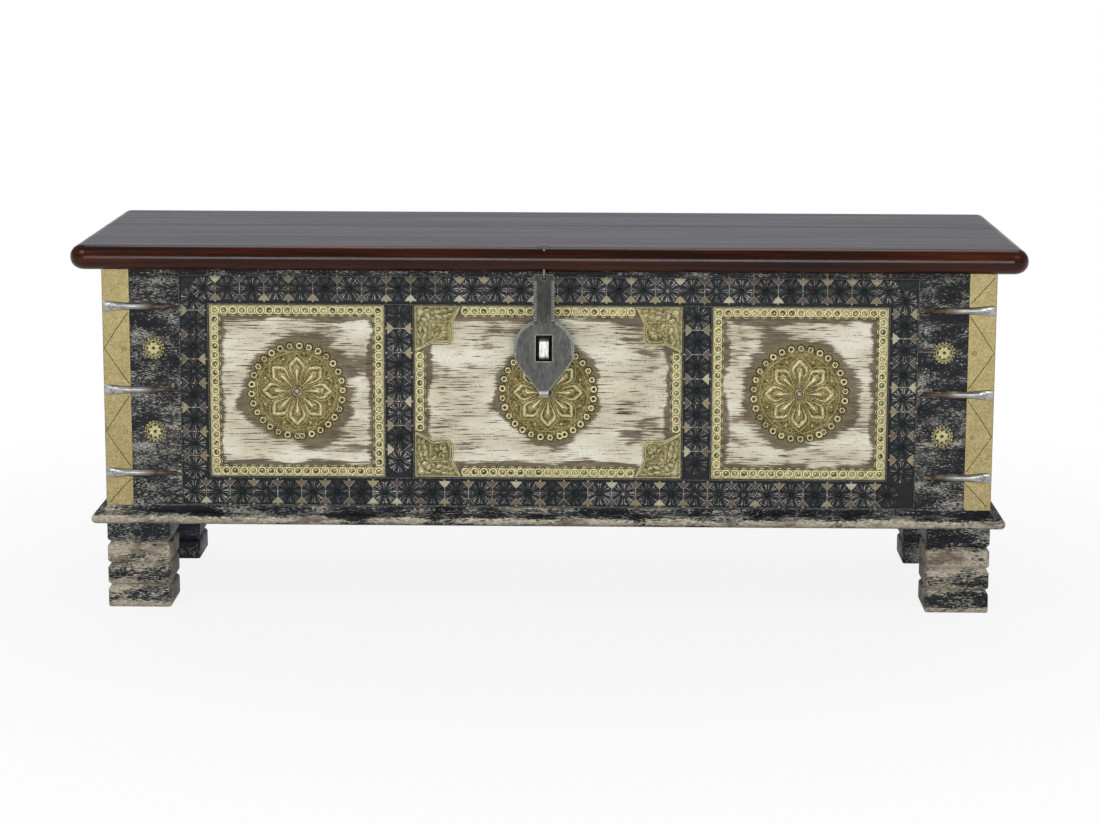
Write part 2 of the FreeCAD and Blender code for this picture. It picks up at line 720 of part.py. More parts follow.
# Carcase: side boards, two back boards with a tongue between them, and loose floor planks.
def carcase_boards():
    for word, side in SIDES:
        inner = half_length - s.side_thickness
        x0, x1 = (inner, half_length) if side > 0 else (-half_length, -inner)
        label = f"side_board_{word}"
        finish(block(label, (x0, frame_back, base), (x1, back_inner, rim)), label)
    over = s.cut_over
    split = (base + rim) / 2
    tongue_front = back_inner + (s.back_thickness - s.board_tongue_thickness) / 2
    tongue_back = tongue_front + s.board_tongue_thickness
    lower = block("back_lower_blank", (-half_length, back_inner, base), (half_length, back, split))
    tongue = block("back_lower_tongue", (-half_length, tongue_front, split),
                   (half_length, tongue_back, split + s.board_tongue))
    finish(joined("back_lower", lower, tongue), "back_board_lower")
    upper = block("back_upper_blank", (-half_length, back_inner, split), (half_length, back, rim))
    cuts = [block("back_upper_groove", (-half_length - over, tongue_front, split - over),
                  (half_length + over, tongue_back, split + s.board_tongue + s.groove_room))]
    for word, side in SIDES:
        reach = s.hinge_length / 2 + s.mortise_room
        middle = side * hinge_place
        mortise_floor = lid_under - s.leaf_thickness - s.hinge_gap
        cuts.append(block(f"back_mortise_{word}", (middle - reach, back_inner - over, mortise_floor),
                          (middle + reach, back + over, rim + over)))
    finish(without("back_upper", upper, *cuts), "back_board_upper")
    half = half_length - s.side_thickness - s.floor_gap
    depth = back_inner - frame_back - s.floor_gap
    pitch = depth / len(FLOOR_PLANKS)
    for i, word in enumerate(FLOOR_PLANKS):
        label = f"floor_{word}_plank"
        y0 = frame_back + s.floor_gap + i * pitch
        finish(block(label, (-half, y0, base),
                     (half, y0 + pitch - s.floor_gap, base + s.floor_thickness)), label)


# Corner plates: brass sheet folded round the front corners.
def corner_plate(word, side):
    label = f"corner_plate_{word}"
    body = new_body(label + "_body")
    low = base + s.plate_edge_gap
    over = s.cut_over
    inner_x = half_length - s.plate_width
    out_x = half_length + s.plate_thickness
    out_y = front - s.plate_thickness
    section = outline(sketch_on(body, "XY_Plane", label + "_section", low), flipped([
        (inner_x, front),
        (inner_x, out_y),
        (half_length, out_y),
        (out_x, front, s.plate_thickness, 1),
        (out_x, front + s.plate_width),
        (half_length, front + s.plate_width),
        (half_length, front),
    ], side))
    pad(body, section, rim - s.plate_edge_gap - low)
    radius = s.plate_corner_round
    corner = outline(sketch_on(body, "XZ_Plane", label + "_corner"), flipped([
        (inner_x - over, low - over),
        (inner_x + radius, low - over),
        (inner_x + radius, low),
        (inner_x, low + radius, radius, -1),
        (inner_x - over, low + radius),
    ], side))
    pocket(body, corner, s.lid_depth)
    finish(body, label)


# Corner straps: a flat nailed end drawn into a half round rod that tapers out over the stile.
def strap_levels():
    upper = rim - s.strap_rim_drop
    pitch = (upper - base - s.strap_base_lift) / (STRAPS_PER_CORNER - 1)
    return [upper - i * pitch for i in range(STRAPS_PER_CORNER)]


def strap(name, side, level):
    body = new_body(name + "_body")
    drawn = s.strap_flat_length + s.strap_draw_length
    stations = [
        (zero, s.strap_end_height, s.strap_end_thickness),
        (s.strap_flat_length, s.strap_end_height, s.strap_end_thickness),
        (drawn, s.strap_rod_height, s.strap_rod_thickness),
        (drawn + s.strap_rod_length, s.strap_rod_height, s.strap_rod_thickness),
        (s.strap_length, s.strap_tip_height, s.strap_tip_thickness),
    ]
    sections = []
    for i, (along, height, rise) in enumerate(stations):
        x = side * (half_length - along)
        section = sketch_on(body, "YZ_Plane", f"{name}_section_{i}", x)
        sections.append(outline(section, [
            (-proud * rise, across * height) for proud, across in STRAP_SECTION_SHARES
        ]))
    lofted(body, sections, name + "_loft")
    nail_x = side * (half_length - s.strap_nail_place)
    head = outline(sketch_on(body, "XZ_Plane", name + "_nail"), [
        (nail_x + u, v) for u, v in corners_around([s.strap_nail_reach] * 4)
    ])
    pad(body, head, s.strap_end_thickness + s.strap_nail_rise)
    place(body, zero, front, level)
    near = half_length - s.plate_width
    far = half_length + s.plate_thickness + s.cut_over
    x0, x1 = (near, far) if side > 0 else (-far, -near)
    seat = block(name + "_seat", (x0, front - s.plate_thickness, level - s.strap_end_height),
                 (x1, front + s.cut_over, level + s.strap_end_height))
    return without(name, body, seat)


def corner_ironwork():
    for word, side in SIDES:
        corner_plate(word, side)
        straps = [strap(f"strap_{word}_{i}", side, level) for i, level in enumerate(strap_levels())]
        group(f"corner_straps_{word}", straps)


# Corner studs: scalloped brass rosettes with a dome, one between each strap and the next.
def stud(name, x, level):
    body = new_body(name)
    sheet = outline(sketch_on(body, "XZ_Plane", name + "_sheet"),
                    corners_around([s.stud_radius, s.stud_waist] * STUD_LOBES))
    pad(body, sheet, s.stud_thickness)
    domed(body, name + "_dome", s.stud_dome_radius, s.stud_rise - s.stud_thickness, s.stud_thickness)
    return place(body, x, front, level)


def corner_studs():
    levels = strap_levels()
    group("corner_studs", [
        stud(f"stud_{word}_{i}", side * (half_length - s.stud_place), (upper + lower) / 2)
        for word, side in SIDES
        for i, (upper, lower) in enumerate(zip(levels, levels[1:]))
    ])


# Embossed strips: sheet with a raised bead along both edges, mitred round the three panels.
def frame_band(member, near, far):
    """Corners of one mitred member of a frame, between two distances out from the openings."""
    gap = s.strip_joint_gap
    near_x, far_x = opening_edge + near, opening_edge + far
    if member in ("left", "right"):
        points = [
            (near_x, opening_low - near + gap),
            (far_x, opening_low - far + gap),
            (far_x, opening_high + far - gap),
            (near_x, opening_high + near - gap),
        ]
        return flipped(points, -1 if member == "left" else 1)
    near_z, far_z = opening_high + near, opening_high + far
    if member == "bottom":
        near_z, far_z = opening_low - near, opening_low - far
    return [(-near_x, near_z), (-far_x, far_z), (far_x, far_z), (near_x, near_z)]


def muntin_band(side, near, far):
    """The same for a muntin, between two distances from its inner edge."""
    gap = s.strip_joint_gap
    low, high = opening_low + gap, opening_high - gap
    x0, x1 = muntin_inner + near, muntin_inner + far
    return flipped([(x0, low), (x1, low), (x1, high), (x0, high)], side)


def strip(label, band):
    body = new_body(label + "_body")
    sheet = outline(sketch_on(body, "XZ_Plane", label + "_sheet", -front), band(zero, s.strip_width))
    pad(body, sheet, s.strip_thickness)
    beads = sketch_on(body, "XZ_Plane", label + "_beads", s.strip_thickness - front)
    outline(beads, band(zero, s.strip_bead_width))
    outline(beads, band(s.strip_width - s.strip_bead_width, s.strip_width))
    pad(body, beads, s.strip_bead_rise)
    finish(body, label)


def embossed_strips():
    for member in ("top", "bottom", "left", "right"):
        strip(f"strip_{member}", lambda near, far: frame_band(member, near, far))
    for word, side in SIDES:
        strip(f"strip_muntin_{word}", lambda near, far: muntin_band(side, near, far))


# Brass borders on the panels. In the middle one, corner brackets take the place of its corners.
def rectangle(x0, x1, z0, z1):
    return [(x0, z0), (x1, z0), (x1, z1), (x0, z1)]


def borders():
    gap = s.border_edge_gap
    for word, (x0, x1) in PANELS.items():
        label = f"border_{word}"
        body = new_body(label + "_body")
        ring = sketch_on(body, "XZ_Plane", label + "_ring", -panel_face)
        outline(ring, rectangle(x0 + gap, x1 - gap, opening_low + gap, opening_high - gap))
        inset = gap + s.border_width
        outline(ring, rectangle(x0 + inset, x1 - inset, opening_low + inset, opening_high - inset))
        pad(body, ring, s.border_thickness)
        if word == "centre":
            body = without(label, body, *bracket_rooms(label, x0, x1))
        finish(body, label)


def bracket_rooms(label, x0, x1):
    """Square rooms in the corners of the middle border, with a little air past the brackets."""
    over = s.cut_over
    reach = s.bracket_leg + 2 * s.border_edge_gap
    y0, y1 = panel_face - over, panel_face + over
    rooms = []
    for across, (a, b) in (("left", (x0 - over, x0 + reach)), ("right", (x1 - reach, x1 + over))):
        for up, (c, d) in (("low", (opening_low - over, opening_low + reach)),
                           ("high", (opening_high - reach, opening_high + over))):
            rooms.append(block(f"{label}_room_{across}_{up}", (a, y0, c), (b, y1, d)))
    return rooms


def centre_brackets():
    gap = s.border_edge_gap
    made = []
    for across, x, right in (("left", gap - muntin_inner, 1), ("right", muntin_inner - gap, -1)):
        for up, level, upward in (("low", opening_low + gap, 1), ("high", opening_high - gap, -1)):
            name = f"bracket_{across}_{up}"
            body = new_body(name)
            leg = s.bracket_leg
            face = outline(sketch_on(body, "XZ_Plane", name + "_face"), [
                (right * u * leg, upward * v * leg) for u, v in BRACKET_SHARES
            ])
            pad(body, face, s.bracket_thickness)
            made.append(place(body, x, panel_face, level))
    group("centre_brackets", made)


# Medallions: brass sheet with a ring of eyelets, eight petals, a hub and its nail.
def medallion(word):
    label = f"medallion_{word}"
    body = new_body(label + "_body")
    eyelet_radius = EYELET_SHARE * medallion_radius
    eyelet_place = medallion_radius - eyelet_radius
    sheet = outline(sketch_on(body, "XZ_Plane", label + "_sheet"),
                    corners_around([eyelet_place] * EYELETS))
    pad(body, sheet, s.medallion_thickness)
    eyelet = outline(sketch_on(body, "XZ_Plane", label + "_eyelet"), [
        (eyelet_place + u, v) for u, v in corners_around([eyelet_radius] * EYELET_SIDES)
    ])
    around(body, pad(body, eyelet, s.eyelet_thickness), label + "_eyelets", EYELETS)
    reach = PETAL_REACH_SHARE * medallion_radius
    wide, wide_at = (share * reach for share in PETAL_WIDEST_SHARES)
    narrow, narrow_at = (share * reach for share in PETAL_ROOT_SHARES)
    petal = outline(sketch_on(body, "XZ_Plane", label + "_petal"), [
        (narrow, narrow_at),
        (wide, wide_at),
        (zero, reach),
        (-wide, wide_at),
        (-narrow, narrow_at),
    ])
    around(body, pad(body, petal, s.petal_thickness), label + "_petals", PETALS)
    hub = outline(sketch_on(body, "XZ_Plane", label + "_hub"),
                  corners_around([s.hub_radius] * HUB_SIDES))
    pad(body, hub, s.hub_thickness)
    domed(body, label + "_nail", s.medallion_nail_radius, s.medallion_nail_rise, s.hub_thickness)
    place(body, MEDALLIONS[word], panel_face, medallion_height)
    if word == "centre":
        body = without(label, body, staple_notch(label))
    finish(body, label)


def staple_notch(label):
    """The middle medallion is cut away where the lower leg of the staple goes in."""
    half = s.staple_width / 2 + s.staple_notch_room
    low = staple_middle - s.staple_height / 2 - s.staple_notch_room
    high = medallion_height + medallion_radius + s.cut_over
    return block(label + "_notch", (s.lock_offset - half, panel_face - s.lid_depth / 2, low),
                 (s.lock_offset + half, panel_face + s.cut_over, high))


# Staple: a flat bar bent to a loop, its legs driven through the middle panel and turned over inside.
def staple_leg_slots(label):
    half = s.staple_width / 2 + s.fit_room
    slots = []
    for word, side in (("upper", 1), ("lower", -1)):
        outer = staple_middle + side * (s.staple_height / 2 + s.fit_room)
        inner = staple_middle + side * (s.staple_height / 2 - s.staple_thickness - s.fit_room)
        low, high = (inner, outer) if side > 0 else (outer, inner)
        slots.append(block(f"{label}_{word}_slot",
                           (s.lock_offset - half, panel_face - s.cut_over, low),
                           (s.lock_offset + half, panel_back + s.cut_over, high)))
    return slots


def lock_staple():
    body = new_body("lock_staple_body")
    thick = s.staple_thickness
    bend = s.staple_bend
    face = hasp_plane + s.hasp_thickness / 2 + s.staple_gap
    top = staple_middle + s.staple_height / 2
    bottom = staple_middle - s.staple_height / 2
    profile = outline(sketch_on(body, "YZ_Plane", "lock_staple_profile"), [
        (panel_back, top),
        (panel_back, top + s.staple_clinch),
        (panel_back + thick, top + s.staple_clinch),
        (panel_back + thick, top - thick),
        (face + thick, top - thick),
        (face + thick, bottom + thick),
        (panel_back + thick, bottom + thick),
        (panel_back + thick, bottom - s.staple_clinch),
        (panel_back, bottom - s.staple_clinch),
        (panel_back, bottom),
        (face + bend, bottom),
        (face, bottom + bend, bend, -1),
        (face, top - bend),
        (face + bend, top, bend, -1),
    ])
    pad(body, profile, s.staple_width, both_ways=True)
    place(body, s.lock_offset)
    finish(body, "lock_staple")


# Hasp: a round plate on a long neck, slotted for the staple, that hangs from its eye. The tip curls.
def hasp():
    body = new_body("hasp_body")
    thick = s.hasp_thickness
    neck = s.hasp_neck_width / 2
    corner = s.hasp_neck_round
    radius = s.hasp_disc_radius
    middle = -disc_drop
    shoulder = middle + root(radius * radius - neck * neck)
    waist_u, waist_v = (share * radius for share in HASP_SHOULDER_SHARES)
    tip = s.hasp_tip_width / 2
    tip_level = middle - s.hasp_tip_reach
    plate = outline(sketch_on(body, "XZ_Plane", "hasp_outline", -thick / 2), [
        (-neck, -corner),
        (corner - neck, zero, corner, -1),
        (neck - corner, zero),
        (neck, -corner, corner, -1),
        (neck, shoulder),
        (waist_u, middle + waist_v, radius, -1),
        (tip, tip_level),
        (-tip, tip_level),
        (-waist_u, middle + waist_v),
        (-neck, shoulder, radius, -1),
    ])
    pad(body, plate, thick)
    curl = sketch_on(body, "XY_Plane", "hasp_curl", tip_level)
    outline(curl, [(-tip, thick / 2), (tip, thick / 2), (tip, -thick / 2), (-tip, -thick / 2)])
    centre_line = curl.addGeometry(Part.LineSegment(
        FreeCAD.Vector(-float(tip), -float(s.curl_radius), 0),
        FreeCAD.Vector(float(tip), -float(s.curl_radius), 0),
    ), True)
    pin(curl, centre_line, 1, (-tip, -s.curl_radius), "curl_left")
    pin(curl, centre_line, 2, (tip, -s.curl_radius), "curl_right")
    turned(body, curl, "Axis0", CURL_TURN, backwards=True)
    holes = sketch_on(body, "XZ_Plane", "hasp_holes")
    slot = middle + s.slot_lift
    outline(holes, rectangle(-s.slot_width / 2, s.slot_width / 2,
                             slot - s.slot_height / 2, slot + s.slot_height / 2))
    circle_in(holes, zero, -s.eye_ring_radius, s.eye_hole_radius)
    pocket(body, holes, 2 * s.cut_over)
    place(body, s.lock_offset, hasp_plane, hasp_axis)
    finish(body, "hasp")


# Eye: a bent wire that carries the hasp. Its legs go up through the nosing and are clinched on top.
def hasp_eye():
    body = new_body("hasp_eye_body")
    ring = s.eye_ring_radius
    seat = s.chest_height - s.clinch_depth - hasp_axis
    top = seat + s.clinch_thickness / 2
    path = outline(sketch_on(body, "YZ_Plane", "hasp_eye_path"), [
        (-ring, top),
        (-ring, zero),
        (zero, -ring, ring, 1),
        (ring, zero, ring, 1),
        (ring, top),
    ], closed=False)
    wire = outline(sketch_on(body, "XY_Plane", "hasp_eye_wire", top), [
        (u, v - ring) for u, v in corners_around([s.eye_wire_radius] * WIRE_SIDES)
    ])
    pipe = body.newObject("PartDesign::AdditivePipe", "hasp_eye_pipe")
    pipe.Profile = wire
    pipe.Spine = (path, [])
    star = outline(sketch_on(body, "XY_Plane", "hasp_eye_clinch", seat),
                   corners_around([s.clinch_radius, s.clinch_waist] * CLINCHED_ENDS))
    pad(body, star, s.clinch_thickness)
    place(body, s.lock_offset, hasp_plane, hasp_axis)
    finish(body, "hasp_eye")


# Lid hinges: butt hinges whose pins lie behind the back board, under the overhang of the lid.
def hinge_leaf(label, leaf_points, gaps, side):
    """A leaf and its knuckles along the pin, made about the hinge axis. Gaps clear the other leaf."""
    body = new_body(label + "_body")
    leaf = outline(sketch_on(body, "YZ_Plane", label + "_leaf"), leaf_points)
    pad(body, leaf, s.hinge_length, both_ways=True)
    barrel = circle_in(sketch_on(body, "YZ_Plane", label + "_barrel"), zero, zero, s.knuckle_radius)
    pad(body, barrel, s.hinge_length, both_ways=True)
    openings = sketch_on(body, "XY_Plane", label + "_gaps")
    clear = s.knuckle_radius + s.hinge_gap
    for x0, x1 in gaps:
        outline(openings, [(x0, -clear), (x1, -clear), (x1, clear), (x0, clear)])
    pocket(body, openings, 2 * clear)
    bore = circle_in(sketch_on(body, "YZ_Plane", label + "_bore"), zero, zero,
                     s.pin_radius + s.pin_room)
    pocket(body, bore, s.hinge_length + s.cut_over)
    place(body, side * hinge_place, hinge_axis_y, hinge_axis_z)
    finish(body, label)


def hinge_pin(name, side):
    body = new_body(name)
    shank = circle_in(sketch_on(body, "YZ_Plane", name + "_shank"), zero, zero, s.pin_radius)
    pad(body, shank, s.hinge_length, both_ways=True)
    return place(body, side * hinge_place, hinge_axis_y, hinge_axis_z)


def hinges():
    third = s.hinge_length / 6
    gap = s.hinge_gap / 2
    end = s.hinge_length / 2 + s.cut_over
    offset = s.knuckle_radius + s.hinge_gap
    thick = s.leaf_thickness
    pins = []
    for word, side in SIDES:
        hinge_leaf(f"hinge_leaf_body_{word}", [
            (-offset, -s.leaf_drop),
            (thick - offset, -s.leaf_drop),
            (thick - offset, zero),
            (-offset, zero),
        ], [(-third - gap, third + gap)], side)
        hinge_leaf(f"hinge_leaf_lid_{word}", [
            (-s.lid_leaf_reach, offset - thick),
            (zero, offset - thick),
            (zero, offset),
            (-s.lid_leaf_reach, offset),
        ], [(-end, gap - third), (third - gap, end)], side)
        pins.append(hinge_pin(f"hinge_pin_{word}", side))
    group("hinge_pins", pins)


def check_model():
    """Stop before anything is written if an object failed or a sub-part isn't sound."""
    doc.recompute()
    for obj in doc.Objects:
        if "Invalid" in obj.State or "Error" in obj.State:
            raise RuntimeError(f"{obj.Name} failed: {obj.State}")
    for label, obj in finished.items():
        shape = obj.Shape
        if shape.isNull() or not shape.isValid() or not shape.Solids:
            raise RuntimeError(f"{label} is not a sound solid")
        print(f"{label}: {len(shape.Solids)} solid(s), {shape.Volume:.0f} cubic mm")


def write_parts():
    os.makedirs("parts", exist_ok=True)
    for label, obj in finished.items():
        obj.Shape.exportStep(f"parts/{label}.step")
    print(f"{len(finished)} sub-parts written")


lid_boards()
battens()
plinth_and_feet()
front_frame()
panels()
carcase_boards()
corner_ironwork()
corner_studs()
embossed_strips()
borders()
centre_brackets()
for panel in MEDALLIONS:
    medallion(panel)
lock_staple()
hasp()
hasp_eye()
hinges()
check_model()
write_parts()
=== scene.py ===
# %% [markdown]
# # Arabic dowry chest
# The chest is a plain wooden box under a layer of old paint, dressed with stamped sheet brass.
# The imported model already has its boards, hinges, plates and hasp at their true sizes, so this
# lesson keeps those, gives them worn finishes, and adds the stamping: flowers, rings, leaves,
# petals. Every length below is written in millimetres and becomes metres when a mesh is made.

# %% Load the frame
import math
import random

import bpy
import numpy as np
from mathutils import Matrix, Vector


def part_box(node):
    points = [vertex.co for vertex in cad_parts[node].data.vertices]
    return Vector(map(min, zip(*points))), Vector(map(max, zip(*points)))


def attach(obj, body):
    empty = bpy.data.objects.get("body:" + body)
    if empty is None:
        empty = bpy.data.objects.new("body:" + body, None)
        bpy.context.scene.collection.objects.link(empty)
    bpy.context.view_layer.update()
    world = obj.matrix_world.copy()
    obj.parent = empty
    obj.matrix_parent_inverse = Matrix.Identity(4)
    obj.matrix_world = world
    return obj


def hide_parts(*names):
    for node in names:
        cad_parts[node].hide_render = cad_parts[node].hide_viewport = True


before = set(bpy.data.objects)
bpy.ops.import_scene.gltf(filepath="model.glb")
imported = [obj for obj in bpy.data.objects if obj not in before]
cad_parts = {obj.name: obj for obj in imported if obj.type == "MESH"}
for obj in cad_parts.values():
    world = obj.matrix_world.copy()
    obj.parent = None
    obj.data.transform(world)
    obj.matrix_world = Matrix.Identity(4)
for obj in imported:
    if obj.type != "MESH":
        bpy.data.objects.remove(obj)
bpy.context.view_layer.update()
MM = 0.001
TURN = 2 * math.pi


def box_mm(node):
    """Lowest and highest corner of a node of the frame, in millimetres."""
    low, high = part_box(node)
    return np.array(low) / MM, np.array(high) / MM


# %% [markdown]
# ## A tool for stamped metal
# Stamped brass is a thin sheet with low forms pushed up from behind. A height map would need a
# very fine grid to keep the thin lines crisp, so each form is its own small patch instead: domes,
# ribs, rings, petals and leaves, laid on a flat sheet and merged into one mesh. Points are written
# as (across, up, off the sheet). Each point also keeps how high it is raised, from 0 to 1, because
# the hollows of old brass hold dirt while the high spots are rubbed bright.

# %% Collect patches into one mesh
WAYS = {
    "front": lambda across, up, off: (across, -off, up),
    "back": lambda across, up, off: (-across, off, up),
    "right": lambda across, up, off: (off, across, up),
    "left": lambda across, up, off: (-off, -across, up),
    "above": lambda across, up, off: (across, up, off),
    "below": lambda across, up, off: (across, -up, -off),
}
SHARP_EDGE = math.radians(50)


class Stamping:
    """Patches laid on a flat face. Foot is the place of that face, way is where it looks."""

    def __init__(self, foot, way="front"):
        self.foot, self.way = foot, way
        self.points, self.faces, self.raised, self.tones = [], [], [], []
        self.count = 0

    def add(self, patch, raised, tone=0.5):
        points, faces = patch
        self.points.append(np.asarray(points, float))
        self.raised.append(np.clip(np.broadcast_to(raised, len(points)), 0, 1))
        self.tones.append(np.broadcast_to(tone, len(points)))
        self.faces.extend(tuple(i + self.count for i in face) for face in faces)
        self.count += len(points)

    def piece(self, name, material, body, slot, *nodes):
        """Make the mesh in its place, and hand it to its body."""
        across, up, off = np.concatenate(self.points).T
        places = (np.stack(WAYS[self.way](across, up, off), axis=1) + np.array(self.foot)) * MM
        mesh = bpy.data.meshes.new(name)
        mesh.from_pydata(places.tolist(), [], self.faces)
        for label, values in (("raised", self.raised), ("tone", self.tones)):
            mesh.attributes.new(label, "FLOAT", "POINT").data.foreach_set(
                "value", np.concatenate(values).astype(np.float32))
        mesh.validate()
        mesh.update()
        mesh.materials.append(material)
        mesh.shade_smooth()
        mesh.set_sharp_from_angle(angle=SHARP_EDGE)
        piece = bpy.data.objects.new(name, mesh)
        bpy.context.scene.collection.objects.link(piece)
        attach(piece, body)
        if nodes:
            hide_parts(*nodes)
        print(f"{name}: {len(mesh.polygons)} faces")


# %% [markdown]
# The patches themselves. Each is a pair of points and faces. A grid is rows of points joined by
# four-sided faces. A round form is a set of rings about a middle point.

# %% Shapes of the patches
ROUND_BACK = ((-1, 0), (-0.5, 0.8), (0, 1), (0.5, 0.8), (1, 0))
ROUNDED = [(-1, 0), (-0.85, 0.7), (-0.45, 1), (0.45, 1), (0.85, 0.7), (1, 0)]
VEINED = [(-1, 0), (-0.7, 0.8), (-0.2, 1), (0, 0.35), (0.2, 1), (0.7, 0.8), (1, 0)]


def grid_faces(rows, columns, closed=False, capped=False):
    """Closed joins the last column to the first, and capped fills both ends of the tube."""
    last = columns if closed else columns - 1
    faces = [(r * columns + c, r * columns + (c + 1) % columns,
              (r + 1) * columns + (c + 1) % columns, (r + 1) * columns + c)
             for r in range(rows - 1) for c in range(last)]
    if capped:
        end = (rows - 1) * columns
        faces += [tuple(range(columns))[::-1], tuple(range(end, end + columns))]
    return faces


def round_form(reach, profile, top, steps, centre):
    """Rings from the edge in, each with its share of the reach and its height, and a middle point
    at height top, if there is one. Reach may depend on the angle."""
    angles = np.arange(steps) / steps * TURN
    reach = np.broadcast_to(reach(angles) if callable(reach) else reach, steps)
    points = [np.column_stack([centre[0] + reach * share * np.cos(angles),
                               centre[1] + reach * share * np.sin(angles),
                               np.full(steps, float(height))]) for share, height in profile]
    faces = grid_faces(len(profile), steps, closed=True)
    if top is not None:
        inner, middle = (len(profile) - 1) * steps, len(profile) * steps
        points.append(np.array([[centre[0], centre[1], top]]))
        faces += [(inner + i, inner + (i + 1) % steps, middle) for i in range(steps)]
    return np.concatenate(points), faces


def disc(reach, height, shares, steps, centre=(0, 0)):
    """A flat round at one height, with a ring of points at each share of its reach."""
    return round_form(reach, [(share, height) for share in shares], height, steps, centre)


def dome(centre, radius, rise, foot, steps, rings):
    angles = [i / rings * math.pi / 2 for i in range(rings)]
    profile = [(math.cos(a), foot + rise * math.sin(a)) for a in angles]
    return round_form(radius, profile, foot + rise, steps, centre)


def ring_form(centre, radius, width, rise, foot, steps, floor=None):
    """A raised ring. Its floor, where given, closes the middle at that height."""
    half = width / radius / 2
    profile = [(1 - half * step, foot + rise * level) for step, level in ROUND_BACK]
    return round_form(radius, profile, floor, steps, centre)


def rib(line, width, rise, foot=0.0, closed=False, tapered=False):
    """A raised line with a rounded back along a path of (across, up) points. Width may vary."""
    line = np.asarray(line, float)
    ahead = np.roll(line, -1, axis=0) - np.roll(line, 1, axis=0)
    if not closed:
        ahead[0], ahead[-1] = line[1] - line[0], line[-1] - line[-2]
    ahead /= np.maximum(np.linalg.norm(ahead, axis=1), 1e-9)[:, None]
    side = np.stack([-ahead[:, 1], ahead[:, 0]], axis=1)
    size = np.ones(len(line))
    if tapered:
        size = 0.25 + 0.75 * np.sin(np.linspace(0, math.pi, len(line)))
    half = (np.multiply(width, size) / 2)[:, None]
    rows = [np.column_stack([line + side * half * step, foot + rise * level * size])
            for step, level in ROUND_BACK]
    return np.concatenate(rows), grid_faces(len(ROUND_BACK), len(line), closed)


def sheet_form(outline, thickness, foot=0.0):
    """A flat sheet with upright edges. It looks outward whichever way round its outline goes."""
    outline = np.asarray(outline, float)
    count = len(outline)
    ahead = np.roll(outline, -1, axis=0)
    if np.sum(outline[:, 0] * ahead[:, 1] - outline[:, 1] * ahead[:, 0]) < 0:
        outline = outline[::-1]
    top = np.column_stack([outline, np.full(count, foot + thickness)])
    wall = np.column_stack([outline, np.full(count, foot)])
    faces = [tuple(range(count))]
    faces += [(i, count + i, count + (i + 1) % count, (i + 1) % count) for i in range(count)]
    return np.concatenate([top, wall]), faces


def loft(stations, section, rise, foot):
    """A form along +across. Stations are (out, half width, height share), and the section gives
    the height share across, from one edge to the other."""
    points = [(out, -side * half, foot + rise * share * level)
              for out, half, share in stations for side, level in section]
    return np.array(points), grid_faces(len(stations), len(section))


def polar(radius, angle):
    return np.array((radius * math.cos(angle), radius * math.sin(angle)))


def circle(centre, radius, steps):
    return [centre + polar(radius, i / steps * TURN) for i in range(steps)]


def turned(patch, angle, centre=(0, 0)):
    """The same patch turned about its own origin and moved."""
    points, faces = np.array(patch[0], float), patch[1]
    across, up = points[:, 0].copy(), points[:, 1].copy()
    points[:, 0] = across * math.cos(angle) - up * math.sin(angle) + centre[0]
    points[:, 1] = across * math.sin(angle) + up * math.cos(angle) + centre[1]
    return points, faces


def leaf(centre, angle, length, width, rise, foot):
    """An almond-shaped leaf with a vein pressed along its middle."""
    stations = [((t - 0.5) * length, width / 2 * math.sin(math.pi * t ** 0.8) ** 0.8 + 0.05,
                 math.sin(math.pi * t) ** 0.4) for t in (0.01, 0.15, 0.35, 0.6, 0.85, 0.99)]
    return turned(loft(stations, VEINED, rise, foot), angle, centre)


class Side:
    """One side of a frame of sheet metal, from start to end along its outer edge. Into points to
    the inside, and where the corners are mitred, lines further in are shorter at both ends."""

    def __init__(self, start, end, into, mitred):
        self.start, self.end, self.into = (np.array(p, float) for p in (start, end, into))
        self.ahead = (self.end - self.start) / np.linalg.norm(self.end - self.start)
        self.trim = self.ahead * mitred

    def line(self, distance):
        return (self.start + (self.into + self.trim) * distance,
                self.end + (self.into - self.trim) * distance)

    def sheet(self, width, thickness):
        (a, b), (c, d) = self.line(0), self.line(width)
        return sheet_form([a, b, d, c], thickness)

    def ridge(self, distance, width, rise, foot):
        a, b = self.line(distance)
        return rib([a, (a + b) / 2, b], width, rise, foot)

    def bead_places(self, distance, pitch):
        a, b = self.line(distance)
        count = int(np.linalg.norm(b - a) / pitch)
        return [a + (b - a) * (i + 0.5) / count for i in range(count)]


# %% [markdown]
# ## Colours and node materials
# Colours are picked as the usual hex values and turned to linear light by one function, and one
# more function adds a node with its settings and its links. Wood, paint and brass all get their
# variation from noise stretched along the grain or the rolling of the sheet, at real sizes. Where
# a pattern is too fine to show from where the camera stands, it is drawn coarser, and says so.

# %% Helpers for materials
def linear(hex_colour):
    channels = [int(hex_colour[i:i + 2], 16) / 255 for i in (1, 3, 5)]
    return tuple(c / 12.92 if c <= 0.04045 else ((c + 0.055) / 1.055) ** 2.4
                 for c in channels) + (1,)


def node(owner, kind, inputs=(), out=0, **settings):
    """Add one node to a material or world and return one of its outputs, or all of them where out
    is None. Inputs are values, hex colours or other nodes' outputs, in order or by name."""
    made = owner.node_tree.nodes.new("ShaderNode" + kind)
    for name, value in settings.items():
        setattr(made, name, value)
    for socket, value in inputs.items() if isinstance(inputs, dict) else enumerate(inputs):
        if isinstance(value, bpy.types.NodeSocket):
            owner.node_tree.links.new(value, made.inputs[socket])
        elif value is not None:
            made.inputs[socket].default_value = linear(value) if isinstance(value, str) else value
    return made.outputs if out is None or not made.outputs else made.outputs[out]


